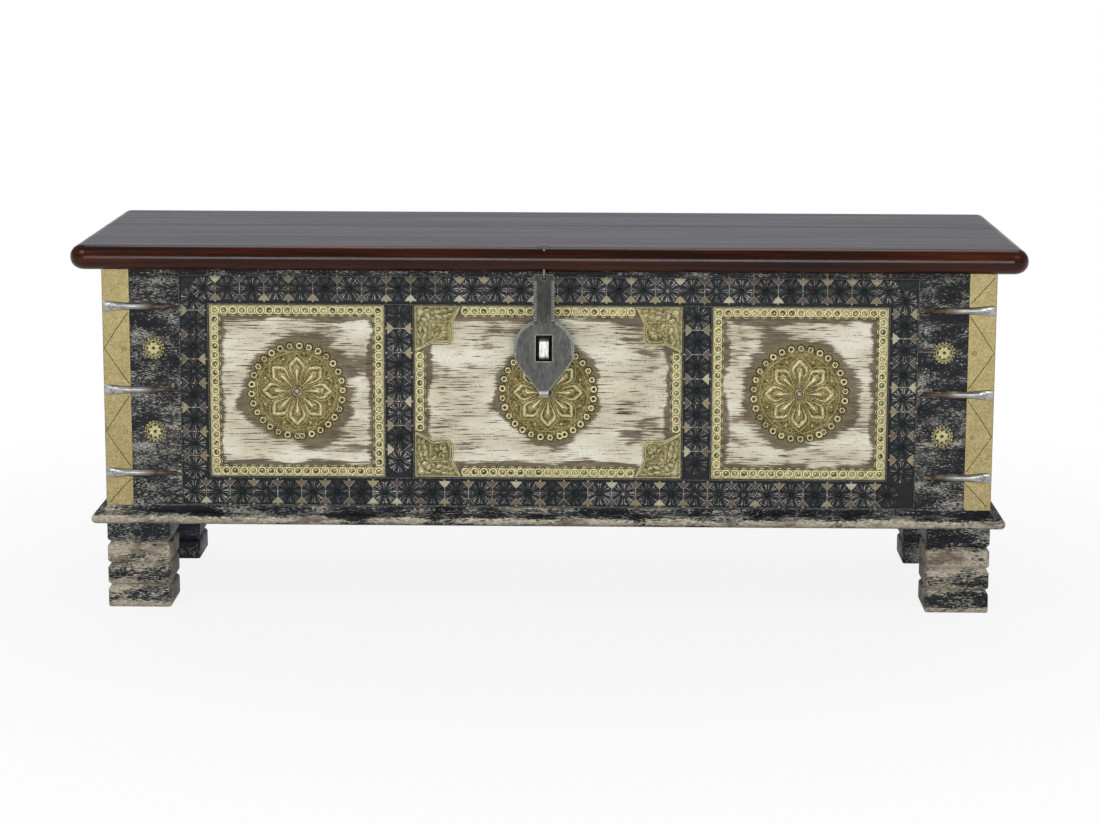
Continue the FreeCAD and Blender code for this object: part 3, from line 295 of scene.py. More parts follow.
def ramp(owner, pattern, stops):
    """The pattern turned to colours or shares, blended between the stops."""
    coloured = node(owner, "ValToRGB", [pattern])
    elements = coloured.node.color_ramp.elements
    while len(elements) < len(stops):
        elements.new(0.5)
    for element, (place, colour) in zip(elements, stops.items()):
        element.position = place
        element.color = linear(colour) if isinstance(colour, str) else (colour,) * 3 + (1,)
    return coloured


def maths(owner, operation, *inputs):
    return node(owner, "Math", inputs, operation=operation)


def new_material(name):
    """An empty material, and the place on the chest that its patterns are laid out by."""
    material = bpy.data.materials.new(name)
    material.use_nodes = True
    material.node_tree.nodes.clear()
    return material, node(material, "TexCoord", out="Object")


def surfaced(material, shader):
    """The material, with the shader as its surface."""
    node(material, "OutputMaterial", [shader])
    return material


def blotches(owner, place, size_mm, stretch=(1, 1, 1), detail=4.0, roughness=0.55):
    """Noise with blotches of a given size. Stretch makes them that much longer along an axis."""
    scaled = node(owner, "Mapping", {
        "Vector": place, "Scale": tuple(1 / (size_mm * MM * s) for s in stretch)})
    return node(owner, "TexNoise", {
        "Vector": scaled, "Scale": 1.0, "Detail": detail, "Roughness": roughness})


def summed(owner, start, *shares):
    """The start plus each pattern times its share."""
    for pattern, share in shares:
        start = maths(owner, "MULTIPLY_ADD", pattern, share, start)
    return start


def coats(owner, colour, *layers, how="MIX"):
    """Lay colours over one another, each as far as its mask lets it show."""
    for mask, over in layers:
        colour = node(owner, "Mix", {0: mask, 6: colour, 7: over}, 2, data_type="RGBA",
                      blend_type=how)
    return colour


def stored_values(owner):
    """What each stamped point keeps: how high it is raised, and its tone."""
    return [node(owner, "Attribute", out="Fac", attribute_name=name)
            for name in ("raised", "tone")]


def room_inside(owner, place, middle, half):
    """How far inside a box each coordinate is. Outside it, the number is below 0."""
    offset = node(owner, "VectorMath", [place, middle], operation="SUBTRACT")
    offset = node(owner, "VectorMath", [offset], operation="ABSOLUTE")
    room = node(owner, "VectorMath", [half, offset], operation="SUBTRACT")
    return node(owner, "SeparateXYZ", [room], None)


def edge_wear(owner, radius_mm):
    """1 on sharp edges and 0 on flat faces, from the turn of the normal within a radius."""
    soft = node(owner, "Bevel", {"Radius": radius_mm * MM}, samples=4)
    sharp = node(owner, "NewGeometry", out="Normal")
    likeness = node(owner, "VectorMath", [soft, sharp], "Value", operation="DOT_PRODUCT")
    return maths(owner, "SUBTRACT", 1.0, likeness)


def bumped(owner, height, distance_mm, strength, soft_mm=None):
    """The normal of a surface with this relief. Soft is how far its sharp edges are rounded."""
    soft = soft_mm and node(owner, "Bevel", {"Radius": soft_mm * MM}, samples=4)
    return node(owner, "Bump", {"Height": height, "Distance": distance_mm * MM,
                               "Strength": strength, "Normal": soft})


# %% [markdown]
# ## The lid's finish
# The lid is teak or sheesham, stained red-brown and varnished until it shines. Under the varnish
# the wood keeps its grain, and its smooth face gives the streak of light along the nosing. The
# fibres are noise 2.2 mm across, drawn out sixty times along the boards. Real pores are a third of
# a millimetre wide: these are 0.9 mm, so that they show.

# %% Varnished teak
LID_JOINT = 38.0


def varnished_teak():
    """Varnish fills the pores: the eye sees deep red-brown with a sharp streak of light."""
    m, place = new_material("varnished_teak_stained_red")
    fibres = blotches(m, place, 2.2, (60, 1, 1), 6, 0.65)
    bands = blotches(m, place, 14, (24, 1, 1), 4, 0.6)
    pores = blotches(m, place, 0.9, (22, 1, 1), 2, 0.5)
    specks = blotches(m, place, 1.3, (1.6, 1, 1), 3, 0.6)
    colour = ramp(m, summed(m, 0.0, (fibres, 0.4), (bands, 0.6)), {
        0.34: "#120502", 0.48: "#280d04", 0.60: "#471a08", 0.74: "#6b2d0f"})
    dark_pores = ramp(m, pores, {0.30: 0.35, 0.44: 1.0})
    colour = coats(m, colour, (0.7, dark_pores), how="MULTIPLY")
    from_joint = maths(m, "SUBTRACT", node(m, "SeparateXYZ", [place], "Y"), LID_JOINT * MM)
    from_joint = maths(m, "ABSOLUTE", from_joint)
    joint = node(m, "MapRange", [from_joint, 1.0 * MM, 1.8 * MM, 0.9, 0.0])
    rough = node(m, "MapRange", [bands, 0.35, 0.65, 0.16, 0.27])
    relief = summed(m, 0.0, (specks, 0.3), (fibres, 0.14), (bands, 0.5))
    return surfaced(m, node(m, "BsdfPrincipled", {
        "Base Color": coats(m, colour, (joint, "#0a0403")),
        "Roughness": maths(m, "MAXIMUM", rough, joint),
        "IOR": 1.5, "Specular IOR Level": 0.2, "Normal": bumped(m, relief, 0.3, 0.5, 0.8)}))


# %% [markdown]
# ## Worn black paint
# The body was painted cream and then black, and rubbed back so that the cream and the bare wood
# come through in streaks along the grain and on every edge. The material is those same three
# layers in that order. A mask of long noise decides where the black is gone. The grain runs along
# the boards of the rails, sides and plinth and up the stiles, so each direction gets its own. The
# faces inside the chest were never painted and show bare oiled wood.

# %% Black paint over cream over wood
GRAINS = {"along": (8, 1, 1), "up": (1, 1, 8), "deep": (1, 8, 1)}
INSIDE_MIDDLE = (0, -0.0005, 0.277)
INSIDE_HALF = (0.524, 0.156, 0.147)
TIER_TOP = 130


def inside_carcase(owner, place):
    """1 on the inner faces of the boards."""
    x, y, z = room_inside(owner, place, INSIDE_MIDDLE, INSIDE_HALF)
    least = maths(owner, "MINIMUM", y, z)
    least = maths(owner, "MINIMUM", x, least)
    return maths(owner, "GREATER_THAN", least, 0.0)


def oiled_grain(owner, place, grain):
    fibres = blotches(owner, place, 2.4, GRAINS[grain], 6, 0.62)
    return fibres, ramp(owner, fibres, {0.3: "#3d2415", 0.5: "#5b3a23", 0.7: "#7a5335"})


def worn_black_paint(name, grain, held=0.622, tiers=None, patchy=0.28):
    """Matt black with pale scuffs. Held is how much wear the black withstands, tiers add wear by
    height, as (z in mm, share), and patchy is how much of it comes in large patches."""
    m, place = new_material(name)

    def shorter(part):
        return tuple(1 + (s - 1) / part for s in GRAINS[grain])
    streaks = blotches(m, place, 1.3, GRAINS[grain], 5, 0.68)
    patches = blotches(m, place, 26, shorter(5), 4, 0.6)
    chips = blotches(m, place, 2.0, shorter(5), 6, 0.78)
    hue = blotches(m, place, 19, shorter(4), 3, 0.6)
    flecks = blotches(m, place, 0.9, shorter(2), 2, 0.7)
    worn = summed(m, 0.14 - patchy / 2, (patches, patchy), (streaks, 0.45), (chips, 0.38),
                  (edge_wear(m, 2.4), 0.4))
    if tiers:
        level = maths(m, "DIVIDE", node(m, "SeparateXYZ", [place], "Z"), TIER_TOP * MM)
        by_height = ramp(m, level, {z / TIER_TOP: s for z, s in tiers})
        worn = summed(m, worn, (by_height, 0.25))
    gone = ramp(m, worn, {held - 0.02: 0.0, held + 0.022: 1.0})
    black = ramp(m, patches, {0.38: "#0c0e12", 0.55: "#181c23", 0.68: "#272d36"})
    wood = ramp(m, streaks, {0.38: "#3a2c24", 0.52: "#6a564a", 0.66: "#8a776a"})
    cream = ramp(m, chips, {0.36: "#6d675b", 0.52: "#a8a08e", 0.66: "#cfc8b6"})
    to_wood = ramp(m, hue, {0.54: 0.0, 0.62: 0.85})
    flecked = ramp(m, summed(m, -0.225, (hue, 0.8), (flecks, 1.0)), {0.77: 0.0, 0.82: 0.85})
    relief = summed(m, 0.0, (streaks, 0.8), (gone, -1.0))
    return surfaced(m, node(m, "BsdfPrincipled", {
        "Base Color": coats(m, black, (flecked, "#b0ada3"),
                            (gone, coats(m, cream, (to_wood, wood))),
                            (inside_carcase(m, place), oiled_grain(m, place, grain)[1])),
        "Roughness": node(m, "MapRange", [gone, 0.0, 1.0, 0.55, 0.8]),
        "IOR": 1.45, "Specular IOR Level": 0.22, "Normal": bumped(m, relief, 0.4, 0.6, 1.0)}))


# %% [markdown]
# ## Cream panels
# The panels keep most of their cream paint. It is thin, so the grain shows as fine grey-brown
# streaks, and glue and oil stained the wood brown round each medallion and along the borders. The
# stain is worked out from the real distance to those pieces, broken up by noise.

# %% Cream paint with brown stains
STAIN_HEIGHT = 274.5  # of the middle of the round stain, above the floor
MEDALLION_EDGE = 56
BORDER_LINE = 7  # how far the border is in from the edge of the panel's board


def cream_panel_paint(word, medallion_x, stain_reach):
    """Thin chalky paint: no highlight, and the grain of the wood in it as grey-brown streaks."""
    m, place = new_material(f"cream_milk_paint_{word}")
    streaks = blotches(m, place, 1.6, (24, 1, 1), 4, 0.62)
    fine = blotches(m, place, 1.0, (2.5, 1, 1), 2, 0.7)
    patches = blotches(m, place, 34, (2.4, 1, 1), 3, 0.55)
    ragged = blotches(m, place, 5, (7, 1, 1), 6, 0.75)
    uneven = blotches(m, place, 40, (1.5, 1, 1), 2, 0.5)
    on_face = node(m, "VectorMath", [place, (1, 0, 1)], operation="MULTIPLY")
    far = node(m, "VectorMath", [on_face, (medallion_x * MM, 0, STAIN_HEIGHT * MM)], "Value",
               operation="DISTANCE")
    low, high = box_mm(f"front_{word}_panel")
    x, _, z = room_inside(m, place, tuple((low + high) / 2 * MM),
                          tuple(((high - low) / 2 - BORDER_LINE) * MM))
    from_border = maths(m, "MINIMUM", x, z)
    stain = maths(m, "MAXIMUM",
                  node(m, "MapRange", [far, MEDALLION_EDGE * MM, stain_reach * MM, 0.62, -0.1]),
                  node(m, "MapRange", [from_border, 12 * MM, 24 * MM, 0.62, 0.0]))
    stain = summed(m, stain, (ragged, 0.9), (uneven, 1.5), (streaks, 0.9))
    stain = maths(m, "SUBTRACT", stain, 1.05)
    stained = ramp(m, stain, {0.70: 0.0, 0.84: 0.92})
    brown = ramp(m, ragged, {0.38: "#3f3327", 0.55: "#625442", 0.70: "#87795f"})
    olive = ramp(m, fine, {0.38: "#38301a", 0.50: "#61573a", 0.62: "#8d8460"})
    close = node(m, "MapRange", [far, 60 * MM, 70 * MM, 1.0, 0.0])
    paint = ramp(m, patches, {0.35: "#bfb9a1", 0.50: "#cec8b1", 0.66: "#dfdbca"})
    gone = ramp(m, summed(m, streaks, (patches, -0.30), (fine, 0.22)), {0.535: 0.0, 0.56: 1.0})
    specks = ramp(m, fine, {0.62: 0.0, 0.66: 0.9})
    wood = ramp(m, streaks, {0.52: "#766c54", 0.60: "#473d2d", 0.68: "#2c241a"})
    relief = maths(m, "SUBTRACT", streaks, gone)
    return surfaced(m, node(m, "BsdfPrincipled", {
        "Base Color": coats(m, paint,
                            (maths(m, "MAXIMUM", gone, specks), wood),
                            (stained, coats(m, brown, (close, olive))),
                            (inside_carcase(m, place), oiled_grain(m, place, "along")[1])),
        "Roughness": 0.75, "IOR": 1.45, "Specular IOR Level": 0.3,
        "Normal": bumped(m, relief, 0.25, 0.5)}))


# %% [markdown]
# ## Old brass, painted strips and iron
# Sheet brass that has been pickled and lacquered goes a dull olive gold. Its hollows stay dark and
# its tops are pale, so the colour follows the height stored in each stamping. The strips round the
# panels are the same stamped sheet, blackened, with dabs of cream and ochre paint between flowers.
# Forged iron is dark, mottled and a little rough. The speckle of tarnish is 2 mm here, about four
# times as coarse as it is, so that it shows.

# %% Metals
NECK_DARKENS = (355, 375)
TIP_BRIGHT = (276, 280)


def aged_brass(name, low, middle, high, grain=0.55, stored=True):
    """A soft gold gleam on the tops and brown dirt in the hollows. Tone below 0.5 darkens the
    metal: grime on the eyelets, and painted shade round the staple on the middle medallion and its
    nail. A plain sheet has nothing stored and is even."""
    m, place = new_material(name)
    cloud = blotches(m, place, 16, (1, 1, 1), 4, 0.6)
    speckle = blotches(m, place, 2.0, (1, 1, 1), 3, 0.65)
    raised, tone = stored_values(m) if stored else (0.5, None)
    level = summed(m, -0.2 - grain / 2, (speckle, grain), (cloud, 0.4))
    level = maths(m, "ADD", level, raised)
    colour = ramp(m, level, {0.10: low, 0.45: middle, 0.85: high})
    if stored:
        # Grime, and painted shade round the staple, multiply the colour darker.
        clean = ramp(m, tone, {0.0: 0.03, 0.5: 1.0})
        colour = coats(m, colour, (1.0, clean), how="MULTIPLY")
    return surfaced(m, node(m, "BsdfPrincipled", {
        "Base Color": colour, "Metallic": 0.8,
        "Roughness": node(m, "MapRange", [cloud, 0.0, 1.0, 0.36, 0.55]),
        "Normal": bumped(m, speckle, 0.25, 0.5)}))


def blackened_strip():
    """Near black with grey ridges and dabs of paint. Tone below 0.5 is how far the black is rubbed
    off the ridges, and above it the shade of a dab."""
    m, place = new_material("stamped_brass_blackened")
    cloud = blotches(m, place, 12, (1, 1, 1), 4, 0.6)
    speckle = blotches(m, place, 0.8, (1, 1, 1), 3, 0.7)
    rub = blotches(m, place, 2.6, (1, 1, 1), 5, 0.75)
    raised, tone = stored_values(m)
    rubbed = maths(m, "MINIMUM", tone, 0.5)
    level = summed(m, -0.574, (raised, 0.7), (rub, 1.12), (rubbed, 0.42))
    black = ramp(m, level, {
        0.22: "#0b0c0e", 0.45: "#191c20", 0.60: "#2f3337", 0.76: "#6b6b69", 0.92: "#b5b2a9"})
    dabs = ramp(m, tone, {
        0.60: "#2e2d2c", 0.70: "#5d4d48", 0.80: "#74664a", 0.90: "#9b906c", 1.0: "#c0b9a0"})
    worn_dabs = ramp(m, speckle, {0.35: 0.45, 0.6: 1.0})
    dabs = coats(m, dabs, (0.8, worn_dabs), how="MULTIPLY")
    painted = ramp(m, summed(m, tone, (cloud, 0.5)), {0.82: 0.0, 0.88: 1.0})
    flecks = ramp(m, summed(m, 0.0, (speckle, 0.4), (rub, 0.6)), {0.60: 0.0, 0.64: 0.75})
    return surfaced(m, node(m, "BsdfPrincipled", {
        "Base Color": coats(m, black, (painted, dabs), (flecks, "#9c978b")),
        "Metallic": 0.25, "Roughness": 0.42, "Specular IOR Level": 0.3,
        "Normal": bumped(m, speckle, 0.2, 0.6)}))


def forged_iron(name, dark, light, rough, hanging=False):
    """Mottled grey with a dull sheen and bright edges. On the hasp, painted shade darkens its neck
    under the lid, and a painted highlight brightens its curled tip."""
    m, place = new_material(name)
    mottle = blotches(m, place, 3.4, (1, 1, 3), 5, 0.6)
    pits = blotches(m, place, 0.8, (1, 1, 1), 2, 0.5)
    colour = ramp(m, mottle, {0.30: dark, 0.72: light})
    rubbed = ramp(m, edge_wear(m, 3.0), {0.04: 0.0, 0.22: 0.8})
    colour = coats(m, colour, (rubbed, "#b9b9b4"))
    if hanging:
        # Painted shade: the neck is darkened where the lid overhangs it. Painted highlight: the
        # curled tip is brightened.
        z = node(m, "SeparateXYZ", [place], "Z")
        neck = node(m, "MapRange", [z, *(h * MM for h in NECK_DARKENS), 1.0, 0.5])
        tip = node(m, "MapRange", [z, *(h * MM for h in TIP_BRIGHT), 0.9, 0.0])
        colour = coats(m, coats(m, colour, (1.0, neck), how="MULTIPLY"), (tip, "#c9c9c5"))
    relief = maths(m, "ADD", mottle, pits)
    return surfaced(m, node(m, "BsdfPrincipled", {
        "Base Color": colour, "Metallic": 0.85,
        "Roughness": node(m, "MapRange", [mottle, 0.0, 1.0, rough, rough + 0.2]),
        "Normal": bumped(m, relief, 0.2, 0.5, 0.5)}))


def oiled_wood(grain):
    """Bare wood with a low, silky sheen, as the oil soaks in and leaves no film."""
    m, place = new_material(f"oiled_mango_wood_{grain}")
    fibres, colour = oiled_grain(m, place, grain)
    return surfaced(m, node(m, "BsdfPrincipled", {
        "Base Color": colour, "Roughness": 0.6, "IOR": 1.45,
        "Normal": bumped(m, fibres, 0.3, 0.5, 0.8)}))


black_along, black_up, black_deep = (
    worn_black_paint(f"black_milk_paint_rubbed_{grain}", grain) for grain in GRAINS)
PLINTH_TIERS = [(109, 0.3), (112, 0.7), (115, 0.9), (118, 0.75), (121, 0.25), (127, 0.1),
                (129.5, 0.25)]
plinth_along = worn_black_paint("black_milk_paint_worn_moulding", "along", 0.70, PLINTH_TIERS, 0.6)
plinth_deep = worn_black_paint("black_milk_paint_worn_moulding_ends", "deep", 0.70, PLINTH_TIERS,
                               0.6)
FOOT_TIERS = [(0, 0.9), (5, 0.75), (10, 0.35), (18, 0.35), (24, 0.6), (31, 0.75), (36, 0.5),
              (45, 0.5), (52, 0.75), (58, 0.85), (66, 0.75), (76, 0.85), (82, 0.4), (86, 0.1),
              (109, 0.05)]
foot_paint = worn_black_paint("black_milk_paint_worn_feet", "along", 0.70, FOOT_TIERS, 0.45)
# Painted shade: the back feet, under the chest, get a darker copy of the foot paint that keeps its
# black almost whole.
back_foot_paint = worn_black_paint("black_milk_paint_back_feet_painted_shade", "along", 0.92, FOOT_TIERS, 0.6)
brass = aged_brass("stamped_brass_aged", "#342b14", "#82754a", "#d3cb9f", 1.35)
border_brass = aged_brass("stamped_brass_thin", "#352e17", "#8f865b", "#e0dab2", 1.2)
plate_brass = aged_brass("rolled_brass_plate", "#6d5f3a", "#93855b", "#b9ac80", 1.0, stored=False)
strip_black = blackened_strip()
iron = forged_iron("wrought_iron_waxed", "#393938", "#666661", 0.42)
hasp_iron = forged_iron("wrought_iron_waxed_hasp_painted_shade_highlight", "#393938", "#646460", 0.42, hanging=True)

# %% Give every node of the frame its finish
MEDALLION_X = 307.5
FINISHES = {  # by how a node's name begins: the first that fits counts
    "lid_batten": oiled_wood("deep"), "lid_": varnished_teak(),
    "plinth_left": plinth_deep, "plinth_right": plinth_deep, "plinth": plinth_along,
    "front_left_panel": cream_panel_paint("left", -MEDALLION_X, 84),
    "front_centre_panel": cream_panel_paint("centre", 0, 72),
    "front_right_panel": cream_panel_paint("right", MEDALLION_X, 84),
    "front_left_muntin": black_up, "front_right_muntin": black_up, "front_": black_along,
    "side_board": black_deep, "back_board": black_along, "floor": oiled_wood("along"),
    "foot": foot_paint, "corner_plate": plate_brass, "hasp_eye": iron, "hasp": hasp_iron,
    "lock_staple": forged_iron("wrought_iron_rubbed_bright", "#8d8d8b", "#e4e4e0", 0.30),
    "hinge_pins": forged_iron("turned_steel_plain", "#6f6d6a", "#a8a6a2", 0.32),
    "hinge_leaf": iron, "": brass,
}
for name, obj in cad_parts.items():
    obj.data.materials.clear()
    obj.data.materials.append(next(
        finish for start, finish in FINISHES.items() if name.startswith(start)))
print("finished nodes:", len(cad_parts))

# %% [markdown]
# ## Embossed strips
# A long stamped strip runs round the three panels, with a row of eight-petalled flowers, a dome
# nail in the middle of each flower, and tent-shaped dabs between the flowers. Each strip has a
# flat sheet, two ribs and a row of beads along each edge.

# %% Flowers of the strips
STRIP = 36.0
SHEET = 1.2
PETAL_RISE = 0.9
FLOWER_PETAL = [(4.3, 1.2, 0.5), (6.5, 2.0, 0.9), (9.0, 3.1, 1), (11.0, 4.0, 1), (12.4, 4.2, 1),
                (13.4, 3.3, 0.9), (14.0, 1.4, 0)]
TIP_STATION = 5
PETAL_RIDGES = [(-1, 0), (-0.92, 1), (-0.66, 1), (-0.45, 0.35), (0.45, 0.35), (0.66, 1),
                (0.92, 1), (1, 0)]
TENT = [(-7.0, 14.6), (7.0, 14.6), (3.9, 10.2), (0, 6.4), (-3.9, 10.2)]
TENT_RIDGE = [(-7.0, 14.4), (-3.9, 10.2), (0, 6.4), (3.9, 10.2), (7.0, 14.4)]
DAB_TONES = (0.68, 0.71, 0.74, 0.78, 0.82, 0.86, 0.9, 0.97, 0.62)
random.seed(11)


def strip_flower(stamping, centre, rubbed):
    """Eight petals, each with a ridge along both edges, its tip and its middle."""
    points, faces = loft(FLOWER_PETAL, PETAL_RIDGES, PETAL_RISE, SHEET)
    count = len(PETAL_RIDGES)
    points[TIP_STATION * count + 1:(TIP_STATION + 1) * count - 1, 2] = SHEET + 0.85
    for i in range(8):
        wear = rubbed + random.uniform(-0.2, 0.2)
        angle = (i + 0.5) / 8 * TURN + random.uniform(-0.03, 0.03)
        stamping.add(turned((points, faces), angle, centre), tone=max(0.0, wear),
                     raised=(points[:, 2] - SHEET) / PETAL_RISE + min(0.0, wear) * 0.6)
    stamping.add(ring_form(centre, 4.3, 0.9, 0.9, SHEET, 16), raised=0.8, tone=rubbed)
    stamping.add(dome(centre, 3.0, 1.9, SHEET, 12, 3),
                 raised=random.choice((0.2, 0.3, 0.4, 0.5, 0.9)), tone=rubbed)


def between_flowers(stamping, centre, ahead):
    """Two tents on the edges of the strip, and a thin line with a bead between them."""
    across = np.array([-ahead[1], ahead[0]])

    def at(u, v):
        return centre + ahead * u + across * v
    for way in (-1, 1):
        tent = sheet_form([at(u, v * way) for u, v in TENT], 0.3, SHEET)
        stamping.add(tent, raised=0.5, tone=random.choice(DAB_TONES))
        stamping.add(rib([at(u, v * way) for u, v in TENT_RIDGE], 0.9, 0.6, SHEET),
                     raised=1.0, tone=0.48)
        stamping.add(dome(at(0, 15.6 * way), 1.3, 0.8, SHEET, 6, 2), raised=1.0, tone=0.48)
    stamping.add(rib([at(0, v) for v in (-7.4, -3, 0, 3, 7.4)], 1.1, 0.7, SHEET), raised=1.0,
                 tone=random.choice((0.4, 0.48, 0.74, 0.9)))
    stamping.add(dome(centre, 1.3, 1.1, SHEET, 6, 2), raised=1.0, tone=0.48)


# %% Lay the six strips
STRIPS = [  # name, both ends, way in, mitred, first flower, step to the next, flowers
    ("top", (-450.85, 417), (450.85, 417), (0, -1), 1, (-420.9, 400.8), (29.8, 0), 29),
    ("bottom", (-450.85, 131), (450.85, 131), (0, 1), 1, (-435.6, 148.2), (29.4, 0), 30),
    ("left", (-451, 131.15), (-451, 416.85), (1, 0), 1, (-434, 388.6), (0, -30.1), 8),
    ("right", (451, 131.15), (451, 416.85), (-1, 0), 1, (434, 388.6), (0, -30.1), 8),
    ("muntin_left", (-200, 167.15), (-200, 380.85), (1, 0), 0, (-182, 367.5), (0, -30.08), 7),
    ("muntin_right", (200, 167.15), (200, 380.85), (-1, 0), 0, (182, 367.5), (0, -30.08), 7),
]
face = box_mm("front_top_rail")[0][1]
for word, start, end, into, mitred, first, step, flowers in STRIPS:
    side = Side(start, end, into, mitred)
    stamping = Stamping((0, face, 0))
    stamping.add(side.sheet(STRIP, SHEET), raised=0.1, tone=0.2)
    for offset, width, rise, level in ((0.8, 1.1, 0.55, 0.85), (3.2, 0.7, 0.45, 0.6)):
        for place in (offset, STRIP - offset):
            stamping.add(side.ridge(place, width, rise, SHEET), raised=level, tone=0.25)
    for place in (1.95, STRIP - 1.95):
        for spot in side.bead_places(place, 2.6):
            stamping.add(dome(spot, 0.75, 0.55, SHEET, 4, 1), raised=0.4, tone=0.1)
    spots = [np.array(first) + np.array(step) * i for i in range(flowers)]
    rubbed = 0.08 if word == "top" else 0.0
    for spot in spots:
        strip_flower(stamping, spot, rubbed + random.choice((-0.2, -0.1, 0.0, 0.1, 0.25)))
    for one, other in zip(spots, spots[1:]):
        between_flowers(stamping, (one + other) / 2, side.ahead)
    stamping.piece(f"embossed_strip_{word}", strip_black, "carcase", "strip_metal",
                   f"strip_{word}")

# %% [markdown]
# ## Medallions
# Each medallion is one round of sheet brass: thirty eyelets punched round the rim, a fine ring,
# and a rosette of eight petals on a stippled ground. A petal is built as it is stamped: a thin
# pointed line outside, a fat rim that runs in to the hub on both sides, a drop in its hollow and a
# club-shaped ridge on the drop. Between two petals the thin lines join into one. The middle
# medallion and its nail are darkened with painted shade where the hasp hangs over them.

# %% Petals, eyelets and hub
GROUND = 1.2
RIM = [(7, 0.9, 0.9), (12, 2.2, 1.2), (17, 4.0, 1.5), (22, 6.1, 2.0), (26, 7.8, 2.7),
       (29, 8.5, 3.3), (31.5, 8.3, 3.7), (33.5, 7.1, 4.0), (35.3, 5.2, 4.2), (37.2, 3.3, 4.2),
       (39.3, 1.5, 3.8), (41.4, -0.2, 3.0)]
DROP = [(10, 0.3, 0), (15, 1.5, 1), (20, 2.9, 1), (24, 4.0, 1), (27, 4.6, 1), (29.5, 4.5, 1),
        (31.5, 3.6, 1), (32.8, 2.2, 0.8), (33.6, 0.3, 0)]
CLUB = [(8, 0.8), (14, 1.1), (19, 1.7), (23, 2.6), (25.4, 3.0), (26.8, 1.8)]
OUTER_LINE = [(27, 11.1), (30, 12.0), (33, 12.1), (36, 11.0), (39, 8.8), (42, 5.8), (44.8, 2.3),
              (46.6, 0.1)]
EYELETS, EYELET_CIRCLE, EYELET_STEP = 30, 56.1, math.radians(12.2)
HUB = 2.4
MEDALLION_HEIGHT = 274.0
STAPLE = (-4.9, 330.0)
panel_front = box_mm("front_centre_panel")[0][1]


def petal(stamping, angle):
    for side in (-1, 1):
        rim = rib([(out, side * half) for out, half, _ in RIM], [width for _, _, width in RIM],
                  1.3, GROUND)
        line = rib([(out, side * half) for out, half in OUTER_LINE], 0.9, 0.8, GROUND)
        stamping.add(turned(rim, angle), raised=0.68)
        stamping.add(turned(line, angle), raised=1.0)
    stamping.add(turned(loft(DROP, ROUNDED, 0.6, GROUND), angle), raised=0.42)
    club = rib([(out, 0) for out, _ in CLUB], [width for _, width in CLUB], 0.8, GROUND + 0.5)
    stamping.add(turned(club, angle), raised=1.0)
    between = angle + TURN / 16
    stamping.add(rib([polar(radius, between) for radius in (7.5, 14, 21, 29.3)], 0.8, 0.8, GROUND),
                 raised=0.9)
    stamping.add(dome(polar(42.4, between), 1.5, 1.2, GROUND, 8, 3), raised=0.95)


def eyelet(stamping, spot, dotted):
    """A ring on a small round. A dotted one is pinched into six and has a bead in its middle."""
    stamping.add(sheet_form(circle(spot, 5.4, 14), 0.8), raised=0.02)
    points, faces = ring_form(spot, 3.2, 3.4, random.uniform(1.3, 1.7), 0.8, 16, floor=0.4)
    grime = random.uniform(0.32, 0.5)
    if dotted:
        angles = np.arctan2(points[:, 1] - spot[1], points[:, 0] - spot[0])
        shrink = (1 - 0.10 * (1 - np.cos(6 * angles)))[:, None]
        points[:, :2] = spot + (points[:, :2] - spot) * shrink
        stamping.add(dome(spot, 0.9, 1.6, 0.4, 6, 2), raised=0.95)
    stamping.add((points, faces), tone=grime,
                 raised=np.append(np.repeat((0.2, 0.6, 0.95, 0.6, 0.25), 16), 0.15))


def medallion(word, centre_x, first):
    stamping = Stamping((centre_x, panel_front, MEDALLION_HEIGHT))
    stamping.add(sheet_form(circle((0, 0), 54.0, 72), GROUND), raised=0.26)
    for i in range(EYELETS):
        eyelet(stamping, polar(EYELET_CIRCLE, first + EYELET_STEP * i), random.random() < 0.45)
    for radius, width, rise, level in ((48.7, 1.0, 0.9, 1.0), (51.4, 0.7, 0.5, 0.6)):
        ring = rib(circle((0, 0), radius, 96), width, rise, GROUND, closed=True)
        stamping.add(ring, raised=level)
    for i in range(8):
        petal(stamping, i / 8 * TURN)
    stamping.add(disc(6.4, HUB, (1.0, 0.9), 32), raised=0.05)
    stamping.add(rib(circle((0, 0), 5.2, 32), 1.7, 0.9, 2.2, closed=True), raised=0.6)
    # Painted shade: the tones of the middle medallion fall to 0 near the staple, darkening the
    # brass under the hasp.
    if word == "centre":
        far = [np.hypot(points[:, 0] - STAPLE[0], points[:, 1] + MEDALLION_HEIGHT - STAPLE[1])
               for points in stamping.points]
        stamping.tones = [np.clip((distance - 17) / 10, 0, 0.5) for distance in far]
    stamping.piece(f"stamped_medallion_{word}", brass, "carcase", "brass", f"medallion_{word}")
    nail = Stamping((centre_x, panel_front, MEDALLION_HEIGHT))
    # The middle nail gets tone 0.1: painted shade under the hasp's tip.
    nail.add(dome((0, 0), 3.4, 2.4, HUB, 20, 6), raised=0.7, tone=0.1 if word == "centre" else 0.5)
    nail.piece(f"medallion_nail_{word}", nail_steel, "carcase", "steel")


# %% Three medallions
nail_steel = aged_brass("nail_steel_domed", "#1c1a19", "#4f4b49", "#b5b2b0")
medallion("left", -MEDALLION_X, -1.47)
medallion("centre", 0, -1.2)
medallion("right", MEDALLION_X, -1.0)

# %% [markdown]
# ## Borders and corner brackets
# A stamped border runs inside each panel: a fine line and a row of beads along its outer edge, a
# row of rings with a crescent in each, and a scalloped inner edge. In the middle panel, leafy
# brackets with a double raised edge take the corners. They are made once and mirrored.

# %% Border rings
RING_PITCH = 11.1
RING_LINE = 6.6
LOBES = [(0, 2.6, 4.9), (-3.6, 4.8, 2.4), (3.6, 4.8, 2.4)]  # along, in, radius


